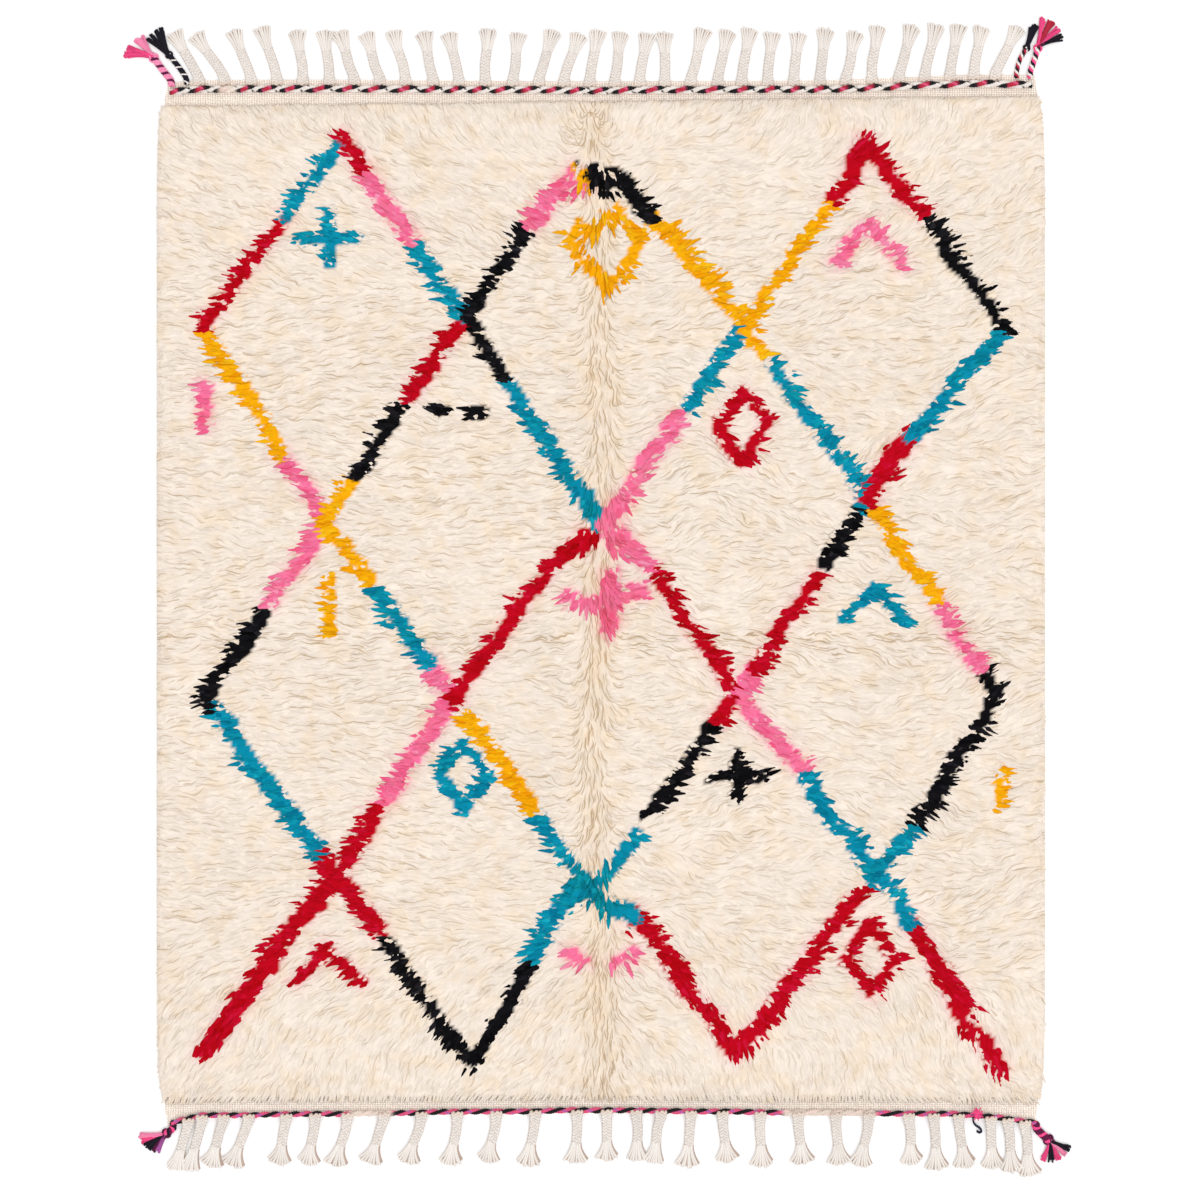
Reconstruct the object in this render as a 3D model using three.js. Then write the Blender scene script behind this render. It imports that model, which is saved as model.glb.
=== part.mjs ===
// A knotted wool rug with long combed pile, flat-woven end bands, plaited warp fringes,
// twined edge cords and corner tassels, lying flat on the floor.
// Millimetres, +Z up, the top end of the rug towards +Y.
import * as THREE from "three";

// Pile field
const WEAVE_HALF_WIDTH = 748;
const WEAVE_HALF_LENGTH = 850;
const WEAVE_THICKNESS = 4.6;
const CORNER_DRAW = 13;
const CORNER_REACH = 45;
const TOP_END_TILT = 0.0118;
const BOTTOM_END_BOW = 4;
const PILE_HEIGHT = 25;
const PILE_SHOULDER = 18;
const PILE_SHOULDER_INSET = 5;
const PILE_ROLL = 17;
const PILE_COLUMNS = 38;
const PILE_ROWS = 42;
const RIM_HEIGHT = 10;
const RIM_BULGE = 4;
const RIM_LOCK_LENGTH = 8;
const RIM_SEGMENTS_PER_LOCK = 2;

// Lumps and old folds in the pile
const COMB_LUMP = 2.1;
const COMB_PITCH = 104;
const COMB_WANDER = 210;
const TUFT_LUMP = 2.2;
const PARTING_X = -4;
const PARTING_WANDER = 9;
const PARTING_DEPTH = 6;
const PARTING_WIDTH = 30;
const FOLD_Y = -68;
const FOLD_DEPTH = 2.5;
const FOLD_WIDTH = 45;
const UNDERSIDE_INSET = 30;

// Flat-woven bands, cords and the gap between pieces that touch
const BAND_THICKNESS = 4;
const GAP = 0.3;
const CORD_WIDTH = 12.4;
const CORD_HEIGHT = 6.6;
const CORD_STROKE = 22;
const CORD_STEPS_PER_STROKE = 3;
const CORD_LUMP = 1.1;
const CORD_SLANT = 0.8 * Math.PI;
const CORD_END_INSET = 6;

// How far each cord's middle lies inside the outer line of its band
const TOP_CORD_INSET = 16;
const BOTTOM_CORD_INSET = 9;

// Plaits of the warp ends, each opening into a flare of loose locks
const PLAIT_ROOT_WIDTH = 22;
const PLAIT_ROOT_SPACE = 3;
const PLAIT_WIDTH = 17;
const PLAIT_HEIGHT = 8;
const PLAIT_KNUCKLE = 0.8;
const PLAIT_LENGTH = 88;
const PLAIT_UNEVEN = 5;
const PLAIT_SHARE = 0.6;
const PLAIT_STEPS = 3;
const LOCKS_PER_PLAIT = 3;
const FLARE_WIDTH = 36;
const FLARE_SHARE_OF_PITCH = 0.86;
const FLARE_ROUNDING = 4;
const FLARE_UNEVEN = 2;
const LOCK_TIP_HEIGHT = 3;
const LOCK_GAP_SHARE = 0.24;
const LOCK_BELLY_SHARE = 0.55;
const TOP_FACE_SHARE = 0.62;

// Braids and tufts at the corners
const BRAID_HEIGHT = 7.5;
const BRAID_SEAT = 4;
const TUFT_WIDTH = 5;
const TUFT_TIP_WIDTH = 4;

// The star tuft where the bottom cord was spliced: it lies across the cord and opens towards the pile
const STAR = { x: 640, outerY: -881, innerY: -873, width: 9.5, height: 4.5, lock: 3.2 };
const STAR_FAN = { from: 145, to: 40, reach: 13, locks: 3 };

// Outer line of each end band, from the left side to the right
const TOP_BAND_EDGE = [
  { x: -740, y: 880 },
  { x: -690, y: 886 },
  { x: -520, y: 887 },
  { x: 0, y: 884 },
  { x: 390, y: 886 },
  { x: 640, y: 896 },
  { x: 740, y: 894 },
];
const BOTTOM_BAND_EDGE = [
  { x: -738, y: -898 },
  { x: -680, y: -883 },
  { x: -530, y: -881 },
  { x: 0, y: -874 },
  { x: 390, y: -879 },
  { x: 600, y: -881 },
  { x: 680, y: -887 },
  { x: 748, y: -896 },
];

// Runs of plaits along each end: how many, where the first and last are rooted, and how far they lean
const TOP_PLAITS = [
  { count: 2, first: -685, last: -641, lean: -50 },
  { count: 2, first: -596, last: -552, lean: -30 },
  { count: 2, first: -508, last: -463, lean: -14 },
  { count: 3, first: -420, last: -333, lean: -27 },
  { count: 2, first: -286, last: -242, lean: -18 },
  { count: 2, first: -197, last: -150, lean: 6 },
  { count: 2, first: -106, last: -63, lean: 24 },
  { count: 3, first: -19, last: 66, lean: 11 },
  { count: 1, first: 109, last: 109, lean: -3 },
  { count: 2, first: 153, last: 199, lean: 22 },
  { count: 6, first: 240, last: 462, lean: 13 },
  { count: 2, first: 508, last: 552, lean: 23 },
  { count: 2, first: 595, last: 636, lean: 14 },
  { count: 1, first: 672, last: 672, lean: 38 },
];
const BOTTOM_PLAITS = [
  { count: 2, first: -703, last: -680, lean: -26 },
  { count: 2, first: -643, last: -600, lean: -27 },
  { count: 2, first: -536, last: -487, lean: -14 },
  { count: 3, first: -432, last: -306, lean: -26 },
  { count: 3, first: -245, last: -112, lean: -14 },
  { count: 3, first: -41, last: 60, lean: 2 },
  { count: 2, first: 102, last: 153, lean: -10 },
  { count: 4, first: 207, last: 400, lean: 6 },
  { count: 1, first: 456, last: 456, lean: -13 },
  { count: 3, first: 524, last: 609, lean: 10 },
  { count: 3, first: 664, last: 722, lean: 7 },
];

// Finishes
const SHAG = { color: 0xefe1cf, roughness: 0.96 };
const WARP = { color: 0xe6dbd0, roughness: 0.92 };
const CORD = { color: 0xa94562, roughness: 0.9 };
const PINK = { color: 0xf0609c, roughness: 0.9 };
const BLACK = { color: 0x1b1a1f, roughness: 0.88 };

// Corner braids: where each is seated on its band, the bend and head of the braid,
// and the fan of locks it opens into, in degrees anticlockwise from +X, from the first lock to the last
const BRAIDS = [
  {
    name: "tassel_top_left_pink",
    edge: TOP_BAND_EDGE,
    seat: -732,
    bend: { x: -746, y: 902 },
    head: { x: -763, y: 925 },
    width: 11,
    fan: { from: 172, to: 120, firstReach: 50, lastReach: 40, locks: 4 },
    finish: PINK,
  },
  {
    name: "tassel_top_left_black",
    edge: TOP_BAND_EDGE,
    seat: -706,
    bend: { x: -716, y: 904 },
    head: { x: -737, y: 930 },
    width: 9,
    fan: { from: 140, to: 114, firstReach: 47, lastReach: 47, locks: 3 },
    finish: BLACK,
  },
  {
    name: "tassel_top_right_black",
    edge: TOP_BAND_EDGE,
    seat: 708,
    bend: { x: 713, y: 920 },
    head: { x: 726, y: 942 },
    width: 9,
    fan: { from: 78, to: 68, firstReach: 37, lastReach: 42, locks: 2 },
    finish: BLACK,
  },
  {
    name: "tassel_top_right_pink",
    edge: TOP_BAND_EDGE,
    seat: 731,
    bend: { x: 739, y: 922 },
    head: { x: 745, y: 942 },
    width: 11,
    fan: { from: 82, to: 23, firstReach: 52, lastReach: 46, locks: 4 },
    finish: PINK,
  },
  {
    name: "tassel_bottom_left",
    edge: BOTTOM_BAND_EDGE,
    seat: -729,
    bend: { x: -731, y: -908 },
    head: { x: -740, y: -917 },
    width: 11,
    fan: { from: -118, to: -181, firstReach: 32, lastReach: 47, locks: 6 },
    finish: PINK,
  },
  {
    name: "tassel_bottom_right",
    edge: BOTTOM_BAND_EDGE,
    seat: 741,
    bend: { x: 749, y: -908 },
    head: { x: 764, y: -921 },
    width: 11,
    fan: { from: -22, to: -106, firstReach: 38, lastReach: 37, locks: 5 },
    finish: PINK,
  },
  {
    name: "splice_curl",
    edge: BOTTOM_BAND_EDGE,
    seat: 633,
    bend: { x: 633.5, y: -891 },
    head: { x: 636, y: -895 },
    width: 6,
    fan: { from: -30, to: -30, firstReach: 12, lastReach: 12, locks: 1 },
    finish: BLACK,
  },
];

// A repeatable uneven value between -1 and 1 for the nth thing of a row
function uneven(n, row) {
  const wave = Math.sin(n * 12.9898 + row * 78.233) * 43758.5453;
  return 2 * (wave - Math.floor(wave)) - 1;
}

function mix(a, b, share) {
  return a + (b - a) * share;
}

// The height of a broken line at one place along it
function lineAt(line, x) {
  let k = 1;
  while (k < line.length - 1 && x > line[k].x) {
    k += 1;
  }
  const from = line[k - 1];
  const to = line[k];
  return mix(from.y, to.y, (x - from.x) / (to.x - from.x));
}

function topEnd(x) {
  return WEAVE_HALF_LENGTH + TOP_END_TILT * x;
}

function bottomEnd(x) {
  return -WEAVE_HALF_LENGTH + BOTTOM_END_BOW * (1 - (x / WEAVE_HALF_WIDTH) ** 2);
}

// The sides draw in a little towards the four corners
function halfWidth(y) {
  const fromEnd = WEAVE_HALF_LENGTH - Math.min(Math.abs(y), WEAVE_HALF_LENGTH);
  return WEAVE_HALF_WIDTH - CORNER_DRAW * Math.exp(-fromEnd / CORNER_REACH);
}

// The points and triangles of one closed body
class Skin {
  constructor() {
    this.points = [];
    this.faces = [];
  }

  point(x, y, z) {
    this.points.push(x, y, z);
    return this.points.length / 3 - 1;
  }

  triangle(a, b, c) {
    this.faces.push(a, b, c);
  }

  quad(a, b, c, d) {
    this.triangle(a, b, c);
    this.triangle(a, c, d);
  }

  // The wall between two rings of the same number of points
  wall(ring, next) {
    ring.forEach((p, k) => {
      const q = (k + 1) % ring.length;
      this.quad(p, next[k], next[q], ring[q]);
    });
  }

  geometry() {
    const geometry = new THREE.BufferGeometry();
    geometry.setAttribute("position", new THREE.Float32BufferAttribute(this.points, 3));
    geometry.setIndex(this.faces);
    geometry.computeVertexNormals();
    return geometry;
  }
}

function node(name, geometry, finish) {
  const mesh = new THREE.Mesh(geometry, new THREE.MeshStandardMaterial({ ...finish, metalness: 0 }));
  mesh.name = name;
  return mesh;
}

// The lumpy top of the pile: combed rows, tufts, the lengthways parting and the crossways fold
function pileTop(x, y, column, row) {
  const comb = Math.sin((2 * Math.PI * y) / COMB_PITCH + 1.3 * Math.sin(x / COMB_WANDER));
  const parting = (x - PARTING_X - PARTING_WANDER * Math.sin(y / 170)) / PARTING_WIDTH;
  const fold = (y - FOLD_Y) / FOLD_WIDTH;
  return (
    PILE_HEIGHT +
    COMB_LUMP * comb +
    TUFT_LUMP * uneven(column, row) -
    PARTING_DEPTH * Math.exp(-parting * parting) -
    FOLD_DEPTH * Math.exp(-fold * fold)
  );
}

// A point of the field from its two shares, -1 to 1 across and along, drawn in from the edge by inset
function fieldPoint(across, along, inset) {
  const lengthShare = (along + 1) / 2;
  const guess = across * (WEAVE_HALF_WIDTH - CORNER_DRAW);
  const y = mix(bottomEnd(guess) + inset, topEnd(guess) - inset, lengthShare);
  const x = across * (halfWidth(y) - inset);
  return { x, y };
}

// The places around the edge of the field, anticlockwise from the bottom left corner
function edgePlaces() {
  const places = [];
  for (let c = 0; c < PILE_COLUMNS; c += 1) {
    places.push({ c, r: 0, out: [0, -1] });
  }
  for (let r = 0; r < PILE_ROWS; r += 1) {
    places.push({ c: PILE_COLUMNS, r, out: [1, 0] });
  }
  for (let c = PILE_COLUMNS; c > 0; c -= 1) {
    places.push({ c, r: PILE_ROWS, out: [0, 1] });
  }
  for (let r = PILE_ROWS; r > 0; r -= 1) {
    places.push({ c: 0, r, out: [-1, 0] });
  }
  return places;
}

// The share from -1 to 1 of the kth of some steps: even, but for the outer ones, where the pile rolls over
function stepShare(k, steps, reach) {
  if (k === 0 || k === steps) {
    return k === 0 ? -1 : 1;
  }
  return mix(-1, 1, (k - 1) / (steps - 2)) * (1 - PILE_ROLL / reach);
}

function acrossShare(column) {
  return stepShare(column, PILE_COLUMNS, WEAVE_HALF_WIDTH);
}

function alongShare(row) {
  return stepShare(row, PILE_ROWS, WEAVE_HALF_LENGTH);
}

function shagField() {
  const skin = new Skin();
  const top = [];
  for (let r = 0; r <= PILE_ROWS; r += 1) {
    const line = [];
    for (let c = 0; c <= PILE_COLUMNS; c += 1) {
      const onEdge = r === 0 || c === 0 || r === PILE_ROWS || c === PILE_COLUMNS;
      const { x, y } = fieldPoint(acrossShare(c), alongShare(r), PILE_SHOULDER_INSET);
      const z = onEdge ? PILE_SHOULDER + TUFT_LUMP * uneven(c, r) : pileTop(x, y, c, r);
      line.push(skin.point(x, y, z));
    }
    top.push(line);
  }
  for (let r = 0; r < PILE_ROWS; r += 1) {
    for (let c = 0; c < PILE_COLUMNS; c += 1) {
      skin.quad(top[r][c], top[r][c + 1], top[r + 1][c + 1], top[r + 1][c]);
    }
  }

  // The rim: from the shoulder of the pile over a bulge, with a lock at every second step, to the weave
  const places = edgePlaces();
  const shoulder = places.map(({ c, r }) => top[r][c]);
  const weave = places.map(({ c, r }) => fieldPoint(acrossShare(c), alongShare(r), 0));
  const rim = [];
  places.forEach(({ out }, k) => {
    const next = weave[(k + 1) % weave.length];
    const reach = RIM_BULGE + uneven(k, 3);
    rim.push(skin.point(weave[k].x + out[0] * reach, weave[k].y + out[1] * reach, RIM_HEIGHT));
    const hasLock = k % RIM_SEGMENTS_PER_LOCK === 0;
    const tip = hasLock ? RIM_LOCK_LENGTH + uneven(k, 4) : RIM_BULGE;
    const middle = { x: mix(weave[k].x, next.x, 0.5), y: mix(weave[k].y, next.y, 0.5) };
    rim.push(skin.point(middle.x + out[0] * tip, middle.y + out[1] * tip, RIM_HEIGHT - 1 + uneven(k, 5)));
  });
  const edge = weave.map(({ x, y }) => skin.point(x, y, WEAVE_THICKNESS));
  const base = weave.map(({ x, y }) => skin.point(x, y, 0));
  shoulder.forEach((a, k) => {
    const n = (k + 1) % shoulder.length;
    const [low, tip, high] = [rim[2 * k], rim[2 * k + 1], rim[2 * n]];
    skin.triangle(a, low, tip);
    skin.triangle(a, tip, shoulder[n]);
    skin.triangle(shoulder[n], tip, high);
    skin.triangle(low, edge[k], tip);
    skin.triangle(tip, edge[k], edge[n]);
    skin.triangle(tip, edge[n], high);
    skin.quad(edge[k], base[k], base[n], edge[n]);
  });

  // The underside: one broad flat rectangle, joined to the edge by a fan from each of its corners
  const cornerX = WEAVE_HALF_WIDTH - CORNER_DRAW - UNDERSIDE_INSET;
  const cornerY = WEAVE_HALF_LENGTH - UNDERSIDE_INSET;
  const corners = [
    skin.point(-cornerX, -cornerY, 0),
    skin.point(cornerX, -cornerY, 0),
    skin.point(cornerX, cornerY, 0),
    skin.point(-cornerX, cornerY, 0),
  ];
  const sideSteps = [PILE_COLUMNS, PILE_ROWS, PILE_COLUMNS, PILE_ROWS];
  let start = 0;
  sideSteps.forEach((steps, side) => {
    const near = corners[side];
    const far = corners[(side + 1) % corners.length];
    const half = Math.floor(steps / 2);
    for (let k = 0; k < steps; k += 1) {
      const a = base[(start + k) % base.length];
      const b = base[(start + k + 1) % base.length];
      skin.triangle(b, a, k < half ? near : far);
    }
    skin.triangle(base[start + half], near, far);
    start += steps;
  });
  skin.quad(corners[3], corners[2], corners[1], corners[0]);
  return skin.geometry();
}

// Four points of a strand's section at one place of its route, left and right as seen along it
function strandRing(skin, place, heading, lift) {
  const side = [-heading[1], heading[0]];
  const ring = [];
  const wide = place.width / 2;
  const narrow = wide * TOP_FACE_SHARE;
  ring.push(skin.point(place.x + side[0] * wide, place.y + side[1] * wide, lift));
  ring.push(skin.point(place.x - side[0] * wide, place.y - side[1] * wide, lift));
  ring.push(skin.point(place.x - side[0] * narrow, place.y - side[1] * narrow, lift + place.height));
  ring.push(skin.point(place.x + side[0] * narrow, place.y + side[1] * narrow, lift + place.height));
  return ring;
}

function headingOf(from, to) {
  const length = Math.hypot(to.x - from.x, to.y - from.y);
  return [(to.x - from.x) / length, (to.y - from.y) / length];
}

// One lock from its four root points to a blunt tip
function addLock(skin, root, from, tip, lift) {
  const heading = headingOf(from, tip);
  const belly = {
    x: mix(from.x, tip.x, LOCK_BELLY_SHARE),
    y: mix(from.y, tip.y, LOCK_BELLY_SHARE),
    width: tip.belly,
    height: mix(from.height, tip.height, LOCK_BELLY_SHARE),
  };
  const middle = strandRing(skin, belly, heading, lift);
  const end = strandRing(skin, tip, heading, lift);
  skin.wall(root, middle);
  skin.wall(middle, end);
  skin.quad(end[0], end[3], end[2], end[1]);
}

// A strand along its route that opens into locks: root is its first ring, or it starts with a cap
function addStrand(skin, root, route, tips, lift = 0) {
  let ring = root;
  let first = 1;
  if (!ring) {
    ring = strandRing(skin, route[0], headingOf(route[0], route[1]), lift);
    skin.quad(ring[0], ring[1], ring[2], ring[3]);
  }
  for (; first < route.length - 1; first += 1) {
    const next = strandRing(skin, route[first], headingOf(route[first - 1], route[first + 1]), lift);
    skin.wall(ring, next);
    ring = next;
  }
  const last = route[route.length - 1];
  const heading = headingOf(route[route.length - 2], last);
  const side = [-heading[1], heading[0]];
  const low = [];
  const high = [];
  const middles = [];
  for (let k = 0; k <= tips.length; k += 1) {
    const offset = last.width * (0.5 - k / tips.length);
    low.push(skin.point(last.x + side[0] * offset, last.y + side[1] * offset, lift));
    const top = offset * TOP_FACE_SHARE;
    high.push(skin.point(last.x + side[0] * top, last.y + side[1] * top, lift + last.height));
    const centre = offset - last.width / tips.length / 2;
    middles.push({ x: last.x + side[0] * centre, y: last.y + side[1] * centre, height: last.height });
  }
  const end = tips.length;
  const [bottomLeft, bottomRight, topRight, topLeft] = ring;
  for (let k = 0; k < end; k += 1) {
    skin.triangle(bottomLeft, low[k], low[k + 1]);
    skin.triangle(topRight, high[k + 1], high[k]);
  }
  skin.triangle(bottomLeft, low[end], bottomRight);
  skin.triangle(topRight, high[0], topLeft);
  skin.quad(bottomRight, low[end], high[end], topRight);
  skin.quad(topLeft, high[0], low[0], bottomLeft);
  tips.forEach((tip, k) => {
    addLock(skin, [low[k], low[k + 1], high[k + 1], high[k]], middles[k], tip, lift);
  });
}

// Each plait's root, lean and length, from the runs along one end
function plaitPlan(runs, seed) {
  const plan = [];
  runs.forEach(({ count, first, last, lean }) => {
    for (let k = 0; k < count; k += 1) {
      const n = plan.length;
      plan.push({
        root: mix(first, last, count > 1 ? k / (count - 1) : 0),
        lean: lean + PLAIT_UNEVEN * uneven(n, seed),
        length: PLAIT_LENGTH + PLAIT_UNEVEN * uneven(n, seed + 1),
      });
    }
  });
  return plan;
}

// How wide a plait may open at its tip before it meets the next one
function flareWidth(plan, n) {
  const tipOf = (plait) => plait.root + plait.lean;
  const neighbours = [plan[n - 1], plan[n + 1]].filter(Boolean);
  const gaps = neighbours.map((near) => Math.abs(tipOf(near) - tipOf(plan[n])));
  return Math.min(FLARE_WIDTH, FLARE_SHARE_OF_PITCH * Math.min(...gaps));
}

// How wide a plait's root may be on the band beside its neighbours
function rootWidth(plan, n) {
  const neighbours = [plan[n - 1], plan[n + 1]].filter(Boolean);
  const gaps = neighbours.map((near) => Math.abs(near.root - plan[n].root));
  return Math.min(PLAIT_ROOT_WIDTH, Math.min(...gaps) - PLAIT_ROOT_SPACE);
}

// The route of the nth plait from its root on the band to where it opens
function plaitRoute(plait, width, start, facing) {
  const route = [];
  for (let step = 0; step <= PLAIT_STEPS; step += 1) {
    const share = (PLAIT_SHARE * step) / PLAIT_STEPS;
    const knuckle = step % 2 ? PLAIT_KNUCKLE : -PLAIT_KNUCKLE;
    route.push({
      x: plait.root + plait.lean * share,
      y: facing * (start + plait.length * share),
      width: width + knuckle,
      height: PLAIT_HEIGHT + knuckle / 2,
    });
  }
  return route;
}

// The tips of the loose locks of one plait, from its left to its right as seen along it
function plaitTips(plait, n, width, spread, start, facing, seed) {
  const tips = [];
  const lockPitch = spread / LOCKS_PER_PLAIT;
  const filled = 1 - LOCK_GAP_SHARE;
  for (let lock = 0; lock < LOCKS_PER_PLAIT; lock += 1) {
    const off = lock - (LOCKS_PER_PLAIT - 1) / 2;
    const reach = plait.length - Math.abs(off) * FLARE_ROUNDING;
    tips.push({
      x: plait.root + plait.lean + facing * off * lockPitch,
      y: facing * (start + reach + FLARE_UNEVEN * uneven(LOCKS_PER_PLAIT * n + lock, seed)),
      width: lockPitch * filled,
      belly: mix(width / LOCKS_PER_PLAIT, lockPitch, LOCK_BELLY_SHARE) * filled,
      height: LOCK_TIP_HEIGHT,
    });
  }
  return tips;
}

// A flat-woven band along one end, with its plaited warp ends. Facing is 1 at the top end and -1
// at the bottom, where across and away are those of the band turned half round.
function fringe(facing, runs, bandEdge, innerEnd, seed) {
  const skin = new Skin();
  const plan = plaitPlan(runs, seed);
  const numbers = plan.map((_, n) => n);
  const sides = [bandEdge[0].x, bandEdge[bandEdge.length - 1].x];
  if (facing < 0) {
    numbers.reverse();
    sides.reverse();
  }
  const stations = [{ across: facing * sides[0] }];
  numbers.forEach((n) => {
    const half = rootWidth(plan, n) / 2;
    stations.push({ across: facing * plan[n].root - half, plait: plan[n], n });
    stations.push({ across: facing * plan[n].root + half });
  });
  stations.push({ across: facing * sides[1] });

  const outer = (across) => facing * lineAt(bandEdge, facing * across);
  const inner = (across) => facing * innerEnd(facing * across) + GAP;
  const place = (across, away, z) => skin.point(facing * across, facing * away, z);
  const corners = stations.map(({ across }) => ({
    innerLow: place(across, inner(across), 0),
    innerHigh: place(across, inner(across), BAND_THICKNESS),
    outerLow: place(across, outer(across), 0),
    outerHigh: place(across, outer(across), BAND_THICKNESS),
  }));
  corners.slice(1).forEach((b, k) => {
    const a = corners[k];
    skin.quad(a.innerHigh, b.innerHigh, b.outerHigh, a.outerHigh);
    skin.quad(a.innerLow, a.outerLow, b.outerLow, b.innerLow);
    skin.quad(a.innerLow, b.innerLow, b.innerHigh, a.innerHigh);
    const { plait, n } = stations[k];
    if (!plait) {
      skin.quad(a.outerLow, a.outerHigh, b.outerHigh, b.outerLow);
      return;
    }
    const start = outer(facing * plait.root);
    const width = Math.min(PLAIT_WIDTH, rootWidth(plan, n) - 2 * PLAIT_KNUCKLE);
    const route = plaitRoute(plait, width, start, facing);
    const tips = plaitTips(plait, n, width, flareWidth(plan, n), start, facing, seed + 2);
    addStrand(skin, [a.outerLow, b.outerLow, b.outerHigh, a.outerHigh], route, tips);
  });
  const left = corners[0];
  const right = corners[corners.length - 1];
  skin.quad(left.innerLow, left.innerHigh, left.outerHigh, left.outerLow);
  skin.quad(right.innerLow, right.outerLow, right.outerHigh, right.innerHigh);
  return skin.geometry();
}

// A twined cord on its band: slanting lumps, the two sides out of step with each other
function edgeCord(bandEdge, inset) {
  const skin = new Skin();
  const from = bandEdge[0].x + CORD_END_INSET;
  const to = bandEdge[bandEdge.length - 1].x - CORD_END_INSET;
  const steps = Math.round(((to - from) / CORD_STROKE) * CORD_STEPS_PER_STROKE);
  const lift = BAND_THICKNESS + GAP;
  let ring = null;
  for (let k = 0; k <= steps; k += 1) {
    const x = mix(from, to, k / steps);
    const y = lineAt(bandEdge, x) - Math.sign(bandEdge[0].y) * inset;
    const turn = (2 * Math.PI * k) / CORD_STEPS_PER_STROKE;
    const front = CORD_LUMP * Math.cos(turn);
    const back = CORD_LUMP * Math.cos(turn + CORD_SLANT);
    const half = CORD_WIDTH / 2;
    const next = [
      skin.point(x, y + half + back, lift),
      skin.point(x, y - half - front, lift),
      skin.point(x, y - half * TOP_FACE_SHARE - front, lift + CORD_HEIGHT + front),
      skin.point(x, y + half * TOP_FACE_SHARE + back, lift + CORD_HEIGHT + back),
    ];
    if (ring) {
      skin.wall(ring, next);
    } else {
      skin.quad(next[0], next[1], next[2], next[3]);
    }
    ring = next;
  }
  skin.quad(ring[0], ring[3], ring[2], ring[1]);
  return skin.geometry();
}

// The tips of a fan of locks around a head, from its first angle to its last
function fanTips(head, fan, width, belly) {
  const tips = [];
  for (let k = 0; k < fan.locks; k += 1) {
    const share = fan.locks > 1 ? k / (fan.locks - 1) : 0;
    const angle = THREE.MathUtils.degToRad(mix(fan.from, fan.to, share));
    const reach = mix(fan.firstReach, fan.lastReach, share);
    tips.push({
      x: head.x + reach * Math.cos(angle),
      y: head.y + reach * Math.sin(angle),
      width,
      belly,
      height: LOCK_TIP_HEIGHT,
    });
  }
  return tips;
}

// A braid seated square against the outer line of its band, then bent and opened into locks
function cornerBraid({ edge, seat, bend, head, width, fan }) {
  const skin = new Skin();
  const facing = Math.sign(edge[0].y);
  const y = lineAt(edge, seat);
  const slope = (lineAt(edge, seat + 1) - lineAt(edge, seat - 1)) / 2;
  const across = Math.hypot(1, slope);
  const out = { x: (-facing * slope) / across, y: facing / across };
  const step = (away) => ({ x: seat + out.x * away, y: y + out.y * away });
  const places = [step(GAP), step(GAP + BRAID_SEAT), bend, head];
  const route = places.map((place) => ({ ...place, width, height: BRAID_HEIGHT }));
  addStrand(skin, null, route, fanTips(head, fan, TUFT_TIP_WIDTH, TUFT_WIDTH));
  return skin.geometry();
}

function spliceStar() {
  const skin = new Skin();
  const lift = BAND_THICKNESS + 2 * GAP + CORD_HEIGHT + CORD_LUMP;
  const ys = [STAR.outerY, mix(STAR.outerY, STAR.innerY, 0.5), STAR.innerY];
  const route = ys.map((y) => ({ x: STAR.x, y, width: STAR.width, height: STAR.height }));
  const fan = { ...STAR_FAN, firstReach: STAR_FAN.reach, lastReach: STAR_FAN.reach };
  addStrand(skin, null, route, fanTips(route[2], fan, STAR.lock, STAR.lock), lift);
  return skin.geometry();
}

const rug = new THREE.Group();
rug.add(node("shag_field", shagField(), SHAG));
rug.add(node("fringe_top", fringe(1, TOP_PLAITS, TOP_BAND_EDGE, topEnd, 11), WARP));
rug.add(node("fringe_bottom", fringe(-1, BOTTOM_PLAITS, BOTTOM_BAND_EDGE, bottomEnd, 21), WARP));
rug.add(node("edge_cord_top", edgeCord(TOP_BAND_EDGE, TOP_CORD_INSET), CORD));
rug.add(node("edge_cord_bottom", edgeCord(BOTTOM_BAND_EDGE, BOTTOM_CORD_INSET), CORD));
BRAIDS.forEach((braid) => {
  rug.add(node(braid.name, cornerBraid(braid), braid.finish));
});
rug.add(node("splice_tuft", spliceStar(), PINK));

// The rug stands on z = 0 with the middle of its outline over the origin
const outline = new THREE.Box3().setFromObject(rug);
const middle = outline.getCenter(new THREE.Vector3());
rug.position.set(-middle.x, -middle.y, 0);

export default rug;
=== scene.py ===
"""Looks of a hand-knotted wool rug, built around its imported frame.

The ground weave, the combed pile, the plaited warp ends, the twined edge cords and the corner
tassels each have a class. Sizes are millimetres in the rug's own design, where (0, 0) is the
middle of the field and the top end lies towards +Y. Finishes and meshes are in metres, and the
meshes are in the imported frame.
"""

import logging
import math
from dataclasses import dataclass, field
from enum import Enum
from typing import NamedTuple

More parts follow.
